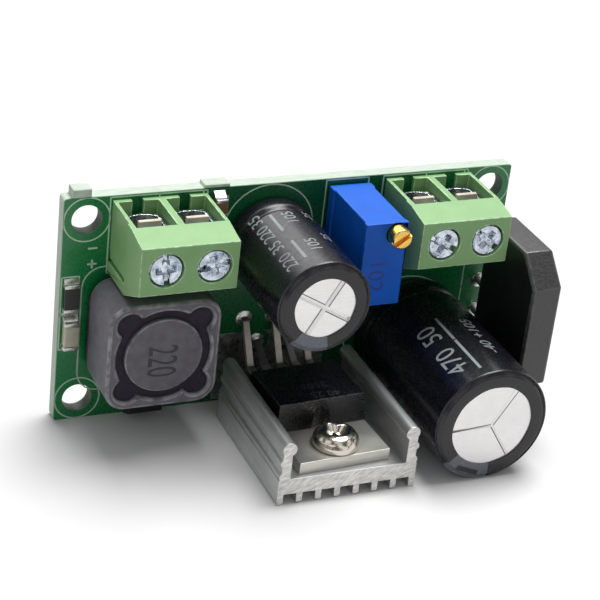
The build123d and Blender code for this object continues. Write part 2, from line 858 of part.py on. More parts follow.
def regulator_mould():
    """Black moulding over the tab, with drafted sides and a notch ahead of the screw."""
    foot = Rectangle(mould_w, mould_len)
    rise = mould_top_y - tab_top_y
    upper = extrude(foot, amount=rise, taper=mould_draft)
    lower = Pos(0, -(mould_len - mould_overlap) / 2, -tab_t / 2) * Box(
        mould_w, mould_overlap - seat_gap, tab_t
    )
    mould = upper + lower
    notch = Pos(0, mould_len / 2 + mould_notch_r - mould_notch_depth, rise / 2)
    mould -= notch * Cylinder(mould_notch_r, 2 * rise)
    # The sketch's x stays, its y becomes the distance from the board and its z goes up.
    lie = Plane(
        origin=(0, tab_top_y, mould_len / 2),
        x_dir=(-1, 0, 0),
        z_dir=(0, 1, 0),
    )
    mould = regulator_back * (lie * mould)
    for pin in regulator_pins():
        mould -= regulator_lead(pin, lead_gap)
    return mould


def regulator_lead(pin, grow=0.0):
    """One formed lead from inside the moulding to behind the board."""
    is_upper = pin.y > bottom + (upper_row_y + lower_row_y) / 2
    bend, turn = (upper_row_bend, upper_row_turn) if is_upper else (lower_row_bend, lower_row_turn)
    path = FilletPolyline(
        (lead_level_y, mould_back + mould_overlap + lead_hold),
        (lead_level_y, bend),
        (pin.y, turn),
        (pin.y, -board_t - pin_reach),
        radius=lead_bend_r,
    )
    strip = trace(path, line_width=2 * (pin.half_y + grow))
    a = pin.half_x + grow
    return extrude(Plane.YZ.offset(pin.x - a) * strip, amount=2 * a)


def regulator_leads():
    return group([regulator_lead(pin) for pin in regulator_pins()])


def heatsink_section():
    """Section of the extruded channel: fins below, beaded and lobed walls at the sides."""
    half = heatsink_w / 2
    under = heatsink_floor_y - heatsink_base_t
    section = Pos(0, (under + heatsink_floor_y) / 2) * Rectangle(heatsink_w, heatsink_base_t)
    pitch = (heatsink_w - fin_t) / (fin_count - 1)
    for k in range(fin_count):
        x = -half + fin_t / 2 + k * pitch
        tip = 0 if k in (0, fin_count - 1) else fin_short
        root = under + heatsink_base_t / 2
        fin = Pos(x, (tip + root) / 2) * Rectangle(fin_t, root - tip)
        section += fillet(fin.vertices().group_by(Axis.Y)[0], fin_tip_r)
    bead_y = heatsink_h - heatsink_bead_r
    wall_out = half - heatsink_lobe_r / 2
    lobe_pitch = (bead_y - heatsink_floor_y) / (heatsink_lobes + heatsink_lobe_start)
    for side in (-1, 1):
        wall_mid = side * (wall_out - heatsink_wall_t / 2)
        wall_h = bead_y - heatsink_floor_y
        wall = Rectangle(heatsink_wall_t, wall_h)
        section += Pos(wall_mid, heatsink_floor_y + wall_h / 2) * wall
        bead_x = half - heatsink_bead_r - heatsink_bead_inset
        section += Pos(side * bead_x, bead_y) * Circle(heatsink_bead_r)
        for k in range(heatsink_lobes):
            y = heatsink_floor_y + (k + heatsink_lobe_start) * lobe_pitch
            section += Pos(side * (half - heatsink_lobe_r), y) * Circle(heatsink_lobe_r)
    return section


def heatsink():
    """Extruded aluminium channel, its length along z, tapped for the fixing screw."""
    place = Pos(heatsink_x, bottom, heatsink_gap)
    body = place * extrude(heatsink_section(), amount=heatsink_len)
    tapped = Pos(fixing_x, floor_y, fixing_z) * Rot(90, 0, 0)
    return body - tapped * Cylinder(fixing_r + thread_gap, 4 * heatsink_base_t)


def heatsink_screw():
    """Pan-head screw through the tab into the channel floor."""
    r, head, top_h = fixing_r, fixing_head_r, fixing_head_h
    crown = fixing_crown
    screw = turned(
        [
            (0, -fixing_len),
            (r, -fixing_len),
            (r, 0),
            (head, 0),
            (head, top_h - crown),
            (head - fixing_crown_in / 4, top_h - crown / 3),
            (head - fixing_crown_in, top_h),
            (0, top_h),
        ]
    )
    recess = cross_recess(top_h, fixing_cross_reach, fixing_cross_w, fixing_cross_depth)
    screw -= Rot(0, 0, fixing_turn) * recess
    upright = Plane(origin=(fixing_x, tab_top_y, fixing_z), x_dir=(1, 0, 0), z_dir=(0, 1, 0))
    return upright * screw


# Bridge rectifier
def bridge_mould():
    """Flat black moulding on edge, one outer corner cut to mark the positive lead."""
    z0, z1 = bridge_standoff, bridge_standoff + bridge_h
    y0, y1 = bridge_low_y, bridge_low_y + bridge_len
    c = bridge_chamfer
    outline = [(y0, z0), (y1, z0), (y1, z1 - c), (y1 - c, z1), (y0, z1)]
    x0 = bridge_x - bridge_t / 2
    body = side_slab(outline, x0, x0 + bridge_t)
    flats = body.faces().group_by(Axis.X)
    body = chamfer(flats[0].edges() + flats[-1].edges(), bridge_edge_r)
    for pin in bridge_pins():
        body -= pin_rod(pin, 0, z0 + bridge_lead_in, lead_gap)
    return body


def bridge_leads():
    z1 = bridge_standoff + bridge_lead_in
    return group([pin_rod(pin, -board_t - pin_reach, z1) for pin in bridge_pins()])


# Surface-mounted parts
def chip_body(chip):
    half = chip.length / 2 - chip_end
    z0 = tinned_t
    body = block(-chip.width / 2, chip.width / 2, -half, half, z0, z0 + chip.height)
    return Pos(chip.x, chip.y, 0) * body


def chip_ends():
    """Metal end caps of the chip parts."""
    ends = []
    for chip in chips:
        half = chip.length / 2
        a = chip.width / 2
        for side in (-1, 1):
            y0, y1 = sorted((side * (half - chip_end), side * half))
            cap = block(-a, a, y0, y1, tinned_t, tinned_t + chip.height)
            ends.append(Pos(chip.x, chip.y, 0) * cap)
    return group(ends)


def chip_solder():
    """Lands and sloping solder at the ends of the chip parts, the diode and the inductor."""
    joints = []
    for chip in chips:
        half = chip.length / 2
        for side in (-1, 1):
            a = chip.width / 2
            rise = chip_solder_rise * chip.height
            wedge = [
                (side * (half - chip_end), 0),
                (side * (half + chip_land_out), 0),
                (side * (half + chip_land_out), tinned_t / 2),
                (side * (half + seat_gap), tinned_t + rise),
                (side * (half + seat_gap), tinned_t - seat_gap),
                (side * (half - chip_end), tinned_t - seat_gap),
            ]
            joints.append(Pos(0, chip.y, 0) * side_slab(wedge, chip.x - a, chip.x + a))
    a = inductor_tail_w / 2 + inductor_land_out
    inner = inductor_w / 2 - inductor_tail_in - inductor_land_out
    outer = inductor_w / 2 + inductor_tail_out + inductor_land_out
    for side in (-1, 1):
        y0, y1 = sorted((side * inner, side * outer))
        joints.append(inductor_place(block(-a, a, y0, y1, 0, inductor_tail_t - seat_gap)))
    for side in (-1, 1):
        x0, x1 = sorted((side * (diode_len / 2 - diode_hold), side * (diode_len / 2 + diode_land_out)))
        b = diode_lead_w / 2 + diode_land_side
        pad = block(x0, x1, -b, b, 0, diode_lift - seat_gap)
        joints.append(Pos(diode_x, diode_y, 0) * pad)
    return group(joints)


def diode_mould():
    """Moulded diode body: two drafted halves that meet at the lead plane."""
    waist = diode_lift + diode_waist * diode_t
    full = Rectangle(diode_len, diode_w)
    small = Rectangle(diode_len - 2 * diode_draft, diode_w - 2 * diode_draft)
    low = loft([Pos(0, 0, diode_lift + diode_foot_t) * small, Pos(0, 0, waist) * full])
    high = loft([Pos(0, 0, waist) * full, Pos(0, 0, diode_lift + diode_t) * small])
    mould = Pos(diode_x, diode_y, 0) * (low + high)
    for side in (-1, 1):
        mould -= diode_lead(side, lead_gap)
    return mould


def diode_lead(side, grow=0.0):
    """One flat lead: out of the mould at its waist, down beside it and under it."""
    waist = diode_lift + diode_waist * diode_t
    t = diode_lead_t
    out = side * (diode_len / 2 + diode_lead_out)
    inner = side * (diode_len / 2 - diode_hold)
    line = FilletPolyline(
        (inner, waist),
        (out, waist),
        (out, diode_lift + t / 2),
        (inner, diode_lift + t / 2),
        radius=diode_lead_bend,
    )
    a = diode_lead_w / 2 + grow
    strip = Plane.XZ * trace(line, line_width=t + 2 * grow)
    lead = extrude(strip, amount=a, both=True)
    return Pos(diode_x, diode_y, 0) * lead


def diode_leads():
    return group([diode_lead(side) for side in (-1, 1)])


def write(name, shape):
    """Turn a shape from board coordinates into the part's frame and save it."""
    export_step(BOARD_FACE * shape, f"parts/{name}.step")


def write_capacitor(name, mid, r, length, window_r, vent_turns, vent_w, pins):
    write(f"{name}_can", capacitor_can(mid, r, length, window_r, vent_turns, vent_w))
    write(f"{name}_sleeve", capacitor_sleeve(mid, r, length, window_r))
    write(f"{name}_bung", capacitor_bung(mid, r, pins))
    write(f"{name}_leads", capacitor_leads(pins))


write("circuit_board", circuit_board())
write("solder_joints", solder_joints())
write("tinned_area", tinned_area())

screw_turns = {"output": (96, 12), "input": (152, 140)}
for side, mid_x in block_places.items():
    write(f"{side}_terminal_housing", terminal_housing(mid_x))
    write(f"{side}_terminal_contacts", terminal_contacts(mid_x))
    for label, at, turn in zip(("left", "right"), pole_places, screw_turns[side]):
        write(f"{side}_{label}_clamp_screw", terminal_screw(mid_x + at, turn))
        write(f"{side}_{label}_clamp_cage", clamp_cage(mid_x + at))

write("trimmer_housing", trimmer_housing())
write("trimmer_fill", trimmer_fill())
write("trimmer_leads", trimmer_leads())
write("trimmer_screw", trimmer_screw())

write_capacitor(
    "small_capacitor",
    small_cap_mid,
    small_cap_r,
    small_cap_len,
    small_cap_window_r,
    [small_cap_vent_turn + 90 * k for k in range(4)],
    small_cap_vent_w,
    capacitor_pins(*small_cap_mid, small_cap_pitch, small_cap_lead_r),
)
write_capacitor(
    "big_capacitor",
    big_cap_mid,
    big_cap_r,
    big_cap_len,
    big_cap_window_r,
    [big_cap_vent_turn + 120 * k for k in range(3)],
    big_cap_vent_w,
    capacitor_pins(*big_cap_mid, big_cap_pitch, big_cap_lead_r),
)

write("inductor_shield", inductor_shield())
write("inductor_core", inductor_core())
write("inductor_winding", inductor_winding())
write("inductor_glue", inductor_glue())
write("inductor_base", inductor_base())
write("inductor_tails", inductor_tails())

write("regulator_mould", regulator_mould())
write("regulator_tab", regulator_tab())
write("regulator_leads", regulator_leads())
write("heatsink", heatsink())
write("heatsink_screw", heatsink_screw())

write("bridge_mould", bridge_mould())
write("bridge_leads", bridge_leads())

for chip in chips:
    write(chip.name, chip_body(chip))
write("chip_ends", chip_ends())
write("chip_solder", chip_solder())
write("diode_mould", diode_mould())
write("diode_leads", diode_leads())
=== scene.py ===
"""Dressed model of the step-down converter module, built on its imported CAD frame."""
import json
import logging
import math
from collections.abc import Callable
from dataclasses import dataclass
from enum import Enum

import bmesh
import bpy
from mathutils import Matrix, Vector, noise

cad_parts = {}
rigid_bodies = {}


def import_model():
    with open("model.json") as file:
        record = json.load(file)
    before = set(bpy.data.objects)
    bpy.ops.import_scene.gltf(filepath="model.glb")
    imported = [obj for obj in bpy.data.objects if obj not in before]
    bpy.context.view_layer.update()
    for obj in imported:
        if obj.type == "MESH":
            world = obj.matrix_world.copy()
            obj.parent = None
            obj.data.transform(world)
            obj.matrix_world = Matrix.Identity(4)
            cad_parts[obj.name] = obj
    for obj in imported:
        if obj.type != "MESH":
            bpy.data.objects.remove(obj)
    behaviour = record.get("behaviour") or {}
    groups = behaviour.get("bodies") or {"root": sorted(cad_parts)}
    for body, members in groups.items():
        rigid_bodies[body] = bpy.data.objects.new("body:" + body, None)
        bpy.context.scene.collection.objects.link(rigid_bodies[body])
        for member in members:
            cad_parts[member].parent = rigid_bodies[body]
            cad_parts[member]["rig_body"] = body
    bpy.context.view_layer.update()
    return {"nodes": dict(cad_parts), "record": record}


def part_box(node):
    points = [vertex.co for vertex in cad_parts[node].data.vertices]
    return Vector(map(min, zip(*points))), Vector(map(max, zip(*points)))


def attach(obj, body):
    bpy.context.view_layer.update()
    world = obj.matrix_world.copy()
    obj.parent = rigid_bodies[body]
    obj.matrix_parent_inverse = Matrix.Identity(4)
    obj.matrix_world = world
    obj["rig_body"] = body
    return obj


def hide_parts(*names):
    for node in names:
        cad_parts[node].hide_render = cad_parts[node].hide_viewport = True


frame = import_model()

log = logging.getLogger("converter")
logging.basicConfig(level=logging.INFO, format="%(message)s")

Pair = tuple[float, float]
Triple = tuple[float, float, float]
Colour = Triple
Socket = bpy.types.NodeSocket
BMesh = bmesh.types.BMesh
BMEdge = bmesh.types.BMEdge
# Colour, roughness and height of a surface.
Looks = tuple[object, object, object]

MM = 0.001
CREASE = math.radians(25)  # edges that turn by more than this are rounded
SEAM = 1.5e-6  # in metres: corners of the frame's meshes closer than this are one
INK_T = 0.012  # thickness of the print on the sleeves and the regulator, in millimetres
MARK_T = 0.02  # thickness of the figures on the trimmer and the inductor
# Board coordinates in millimetres (x along the board, y up it, z out from its face) to the frame.
TO_FRAME = Matrix.Rotation(math.radians(90), 4, "X") @ Matrix.Scale(MM, 4)
BOARD = "board"


def rgba(colour: Colour) -> tuple[float, float, float, float]:
    """A colour with full cover."""
    return (*colour, 1.0)


# Node wiring


class Net:
    """A node tree being wired, with short calls for the nodes that the finishes share."""

    def __init__(self, tree: bpy.types.NodeTree) -> None:
        """Start on the tree of a material, the world or a group."""
        self.tree = tree

    def feed(self, socket: Socket, value: object) -> None:
        """Link a socket to another one, or set its own value.

        Args:
            socket: the input that is fed.
            value: an output socket, or a plain value.
        """
        if isinstance(value, Socket):
            self.tree.links.new(value, socket)
        else:
            socket.default_value = value

    def add(self, kind: str, inputs: dict[object, object] | None = None, **settings: object) -> bpy.types.Node:
        """Add a node.

        Args:
            kind: the node's type, without the prefix that all shader nodes have.
            inputs: what feeds each input, by name or index.
            **settings: the node's own properties.

        Returns:
            The new node.
        """
        node = self.tree.nodes.new(f"ShaderNode{kind}")
        for name, value in settings.items():
            setattr(node, name, value)
        for name, value in (inputs or {}).items():
            self.feed(node.inputs[name], value)
        return node

    def place(self) -> Socket:
        """Object coordinates in millimetres."""
        at = self.add("TexCoord").outputs["Object"]
        return self.add("VectorMath", {0: at, "Scale": 1000.0}, operation="SCALE").outputs[0]

    def clouds(self, at: Socket, scale: object, detail: float) -> Socket:
        """Noise about a place."""
        return self.add("TexNoise", {"Vector": at, "Scale": scale, "Detail": detail}).outputs[0]

    def rays(self, *kinds: str) -> Socket:
        """One for rays of any of these kinds, and nought for others."""
        path = self.add("LightPath")
        found = path.outputs[f"Is {kinds[0]} Ray"]
        for kind in kinds[1:]:
            found = self.maths("MAXIMUM", found, path.outputs[f"Is {kind} Ray"])
        return found

    def axis(self, vector: Socket, letter: str) -> Socket:
        """One coordinate of a vector."""
        return self.add("SeparateXYZ", {0: vector}).outputs[letter]

    def maths(self, operation: str, *values: object) -> Socket:
        """Result of a sum on one to three values."""
        return self.add("Math", dict(enumerate(values)), operation=operation).outputs[0]

    def span(self, value: object, low: float, high: float, to: Pair = (0.0, 1.0)) -> Socket:
        """A value moved from one range to another and held inside it."""
        sockets = {"Value": value, "From Min": low, "From Max": high, "To Min": to[0], "To Max": to[1]}
        return self.add("MapRange", sockets).outputs[0]

    def blend(self, share: object, first: object, second: object) -> Socket:
        """A colour between two others."""
        node = self.add("Mix", data_type="RGBA")
        for index, value in ((0, share), (6, first), (7, second)):
            self.feed(node.inputs[index], value)
        return node.outputs[2]

    def group(self, tree: bpy.types.NodeTree, **inputs: object) -> bpy.types.Node:
        """Place a shared group with its own values."""
        node = self.add("Group", node_tree=tree)
        for name, value in inputs.items():
            self.feed(node.inputs[name.replace("_", " ")], value)
        return node


def wiring(owner: bpy.types.Material | bpy.types.World) -> Net:
    """Emptied node tree of a material or of the world."""
    owner.use_nodes = True
    owner.node_tree.nodes.clear()
    return Net(owner.node_tree)


class Effects:
    """The effects that several finishes share, each built once as a node group."""

    def __init__(self) -> None:
        """Build every group."""
        self.grain = self.build_grain()
        self.streaks = self.build_streaks()
        self.wear_and_highlight = self.build_wear_and_highlight()
        self.dust = self.build_dust()

    @staticmethod
    def start(
        name: str, inputs: dict[str, float | Triple], outputs: tuple[str, ...]
    ) -> tuple[Net, dict[str, Socket], bpy.types.Node]:
        """Open a group with its sockets.

        Args:
            name: the group's name.
            inputs: default of each input, a value or a vector.
            outputs: names of the value outputs.

        Returns:
            The wiring helper, the input sockets by name and the output node.
        """
        tree = bpy.data.node_groups.new(name, "ShaderNodeTree")
        for label, default in inputs.items():
            kind = "NodeSocketVector" if isinstance(default, tuple) else "NodeSocketFloat"
            tree.interface.new_socket(name=label, in_out="INPUT", socket_type=kind).default_value = default
        for label in outputs:
            tree.interface.new_socket(name=label, in_out="OUTPUT", socket_type="NodeSocketFloat")
        entry, out = tree.nodes.new("NodeGroupInput"), tree.nodes.new("NodeGroupOutput")
        return Net(tree), {label: entry.outputs[label] for label in inputs}, out

    def build_grain(self) -> bpy.types.NodeTree:
        """Fine grain and broad mottling, both from 0 to 1."""
        net, sockets, out = self.start("moulded grain", {"Fine": 6.0, "Broad": 0.4}, ("Grain", "Mottle"))
        at = net.place()
        fine = net.clouds(at, sockets["Fine"], 4.0)
        broad = net.clouds(at, sockets["Broad"], 3.0)
        net.feed(out.inputs["Grain"], net.span(fine, 0.3, 0.7))
        net.feed(out.inputs["Mottle"], net.span(broad, 0.3, 0.7))
        return net.tree

    def build_streaks(self) -> bpy.types.NodeTree:
        """Fine lines, drawn out along the axis that has the smallest scale."""
        net, sockets, out = self.start("drawn streaks", {"Scale": (8.0, 0.2, 8.0)}, ("Streaks",))
        at = net.add("VectorMath", {0: net.place(), 1: sockets["Scale"]}, operation="MULTIPLY")
        lines = net.clouds(at.outputs[0], 1.0, 5.0)
        net.feed(out.inputs["Streaks"], net.span(lines, 0.25, 0.75))
        return net.tree

    def build_wear_and_highlight(self) -> bpy.types.NodeTree:
        """Mask of rubbed edges and painted edge highlights, from the edge attribute that the softened pieces carry.
        """
        net, sockets, out = self.start("rubbed edges", {"Amount": 0.5, "Size": 1.5}, ("Mask",))
        edge = net.add("Attribute", attribute_name="edge").outputs["Fac"]
        patch = net.clouds(net.place(), sockets["Size"], 5.0)
        rubbed = net.span(patch, 0.35, 0.6)
        net.feed(out.inputs["Mask"], net.maths("MULTIPLY", net.maths("MULTIPLY", edge, rubbed), sockets["Amount"]))
        return net.tree

    def build_dust(self) -> bpy.types.NodeTree:
        """Mask of the dust that settles on surfaces that face up."""
        net, sockets, out = self.start("settled dust", {"Amount": 0.1}, ("Mask",))
        up = net.axis(net.add("NewGeometry").outputs["Normal"], "Z")
        specks = net.clouds(net.place(), 2.2, 8.0)
        lying = net.maths("MULTIPLY", net.span(up, 0.2, 1.0), net.span(specks, 0.42, 0.72))
        net.feed(out.inputs["Mask"], net.maths("MULTIPLY", lying, sockets["Amount"]))
        return net.tree


# Finishes


COAT_ROUGHNESS = 0.2
MILKY_DEPTH = 0.0004
DUST = (0.55, 0.53, 0.5)
@dataclass(frozen=True)
class Finish:
    """A surface finish: colour, drift of colour, gloss, grain, rubbed edges with painted edge highlights, and dust.
    """

    name: str
    colour: Colour
    drift: Colour
    roughness: float
    rough_spread: float = 0.08
    metallic: float = 0.0
    fine: float = 6.0
    broad: float = 0.4
    relief_um: float = 4.0
    # Paler colour of the rounded edges: rubbed wear and painted edge highlight.
    rubbed: Colour = (0.6, 0.6, 0.6)
    wear_and_highlight: float = 0.0
    wear_and_highlight_size: float = 1.5
    dust: float = 0.06
    coat: float = 0.0
    specular: float = 0.5
    milky: float = 0.0

    def pattern(self, net: Net, effects: Effects) -> Looks:
        """Colour, roughness and height before wear and dust.

        Args:
            net: wiring of the material.
            effects: the shared groups.

        Returns:
            The three sockets.
        """
        grain = net.group(effects.grain, Fine=self.fine, Broad=self.broad)
        colour = net.blend(grain.outputs["Mottle"], rgba(self.colour), rgba(self.drift))
        return colour, self.gloss(net, grain.outputs["Grain"]), grain.outputs["Grain"]

    def gloss(self, net: Net, share: Socket) -> Socket:
        """Roughness between its two ends."""
        low, high = self.roughness - self.rough_spread, self.roughness + self.rough_spread
        return net.span(share, 0.0, 1.0, (low, high))

    def material(self, effects: Effects) -> bpy.types.Material:
        """The node material, wired with the shared groups."""
        made = bpy.data.materials.new(self.name)
        made.diffuse_color = rgba(self.colour)
        net = wiring(made)
        colour, roughness, height = self.pattern(net, effects)
        if self.wear_and_highlight > 0:
            # Rounded edges take a paler colour: rubbed wear, and painted edge highlight.
            worn_and_lit = net.group(effects.wear_and_highlight, Amount=self.wear_and_highlight, Size=self.wear_and_highlight_size)
            colour = net.blend(worn_and_lit.outputs["Mask"], colour, rgba(self.rubbed))
        if self.dust > 0:
            dusty = net.group(effects.dust, Amount=self.dust)
            colour = net.blend(dusty.outputs["Mask"], colour, rgba(DUST))
        shader = net.add("BsdfPrincipled", {
            "Base Color": colour, "Roughness": roughness, "Metallic": self.metallic,
            "Specular IOR Level": self.specular, "Coat Weight": self.coat, "Coat Roughness": COAT_ROUGHNESS,
            "Subsurface Weight": self.milky, "Subsurface Scale": MILKY_DEPTH,
        })
        bump = net.add("Bump", {"Height": height, "Strength": 1.0, "Distance": self.relief_um * 1e-6})
        net.feed(shader.inputs["Normal"], bump.outputs[0])
        net.add("OutputMaterial", {"Surface": shader.outputs[0]})
        return made


@dataclass(frozen=True)
class SolderMask(Finish):
    """Green mask on both faces, lighter towards both ends as painted glare, with pale glass fibre where the board was
    cut and painted shade on the walls of its holes.
    """

    fibre: Colour = (0.70, 0.80, 0.70)
    fibre_dark: Colour = (0.45, 0.54, 0.44)
    # Painted shade on the walls of the holes and inner cuts.
    bore_shade: Colour = (0.07, 0.09, 0.07)
    # Painted glare: the lighter green that the mask turns to towards both ends of the board.
    painted_glare: Colour = (0.003, 0.230, 0.058)
    glare_from: float = 10.0
    glare_to: float = 25.0
    half_w: float = 25.3
    half_h: float = 12.8
    stub_z: float = 13.02
    fibre_rough: float = 0.85

    def pattern(self, net: Net, effects: Effects) -> Looks:
        """Mask colour with painted glare towards both ends on the faces, layered fibre on the edges and the stubs,
        painted shade on the walls in the bores.
        """
        colour, roughness, height = Finish.pattern(self, net, effects)
        normal = net.add("NewGeometry").outputs["Normal"]
        facing = net.maths("ABSOLUTE", net.axis(normal, "Y"))
        layers = net.group(effects.streaks, Scale=(0.6, 9.0, 0.6))
        fibre = net.blend(layers.outputs["Streaks"], rgba(self.fibre), rgba(self.fibre_dark))
        at = net.place()
        across, up = net.axis(at, "X"), net.axis(at, "Z")
        off = net.maths("ABSOLUTE", across)
        # Painted glare: the mask turns lighter green towards both ends of the board.
        colour = net.blend(net.span(off, self.glare_from, self.glare_to), colour, rgba(self.painted_glare))
        outer = net.maths("GREATER_THAN", off, self.half_w)
        outer = net.maths("MAXIMUM", outer, net.maths("GREATER_THAN", net.maths("ABSOLUTE", up), self.half_h))
        # Painted shade: the walls of holes and inner cuts take the dark colour, and the outer edges keep the fibre.
        fibre = net.blend(outer, rgba(self.bore_shade), fibre)
        on_stub = net.maths("GREATER_THAN", up, self.stub_z)
        cut = net.maths("MULTIPLY", net.span(facing, 0.6, 0.8), net.maths("SUBTRACT", 1.0, on_stub))
        rough = net.blend(cut, rgba((self.fibre_rough,) * 3), roughness)
        return net.blend(cut, fibre, colour), rough, height


@dataclass(frozen=True)
class DrawnMetal(Finish):
    """Metal with lines drawn out along one axis."""

    lines: Colour = (9.0, 0.25, 9.0)

    def pattern(self, net: Net, effects: Effects) -> Looks:
        """Lines in colour, gloss and height over broad mottling."""
        streaks = net.group(effects.streaks, Scale=self.lines).outputs["Streaks"]
        mottle = net.group(effects.grain, Fine=self.fine, Broad=self.broad).outputs["Mottle"]
        share = net.maths("MULTIPLY_ADD", streaks, 0.6, net.maths("MULTIPLY", mottle, 0.4))
        return net.blend(share, rgba(self.colour), rgba(self.drift)), self.gloss(net, streaks), streaks


@dataclass(frozen=True)
class Extrusion(DrawnMetal):
    """Extruded aluminium: fine die lines along it, and pale saw marks on its cut ends."""

    sawn: Colour = (0.80, 0.79, 0.76)
    sawn_dark: Colour = (0.50, 0.49, 0.47)
    sawn_rough: float = 0.52
    saw_slant: float = 28.0
    saw_lines: Triple = (1.1, 0.2, 5.0)

    def pattern(self, net: Net, effects: Effects) -> Looks:
        """Die lines on the sides, slanting saw marks on the ends."""
        colour, roughness, height = DrawnMetal.pattern(self, net, effects)
        normal = net.add("NewGeometry").outputs["Normal"]
        end = net.span(net.maths("ABSOLUTE", net.axis(normal, "Y")), 0.8, 0.95)
        turned = net.add("VectorRotate", {"Vector": net.place(), "Angle": math.radians(self.saw_slant)},
                         rotation_type="Y_AXIS")
        drawn = net.add("VectorMath", {0: turned.outputs[0], 1: self.saw_lines}, operation="MULTIPLY")
        marks = net.clouds(drawn.outputs[0], 1.0, 8.0)
        mark = net.span(marks, 0.35, 0.65)
        colour = net.blend(end, colour, net.blend(mark, rgba(self.sawn), rgba(self.sawn_dark)))
        height = net.blend(end, height, mark)
        return colour, net.blend(end, roughness, rgba((self.sawn_rough,) * 3)), height


@dataclass(frozen=True)
class Sleeve(Finish):
    """Shrunk sleeve with a pale stripe down one side, at a set angle about the can."""

    centre: Pair = (0.0, 0.0)
    stripe_from: float = -132.0
    stripe_to: float = -80.0
    stripe: Colour = (0.15, 0.165, 0.20)

    def pattern(self, net: Net, effects: Effects) -> Looks:
        """Black sleeve, striped between two angles about the can's axis."""
        colour, roughness, height = Finish.pattern(self, net, effects)
        at = net.place()
        across = net.maths("SUBTRACT", net.axis(at, "X"), self.centre[0])
        up = net.maths("SUBTRACT", net.axis(at, "Z"), self.centre[1])
        turn = net.maths("ARCTAN2", up, across)
        middle = math.radians((self.stripe_from + self.stripe_to) / 2)
        half = math.radians((self.stripe_to - self.stripe_from) / 2)
        off = net.maths("ABSOLUTE", net.maths("SUBTRACT", turn, middle))
        inside = net.span(off, half, half - 0.02)
        return net.blend(inside, colour, rgba(self.stripe)), roughness, height


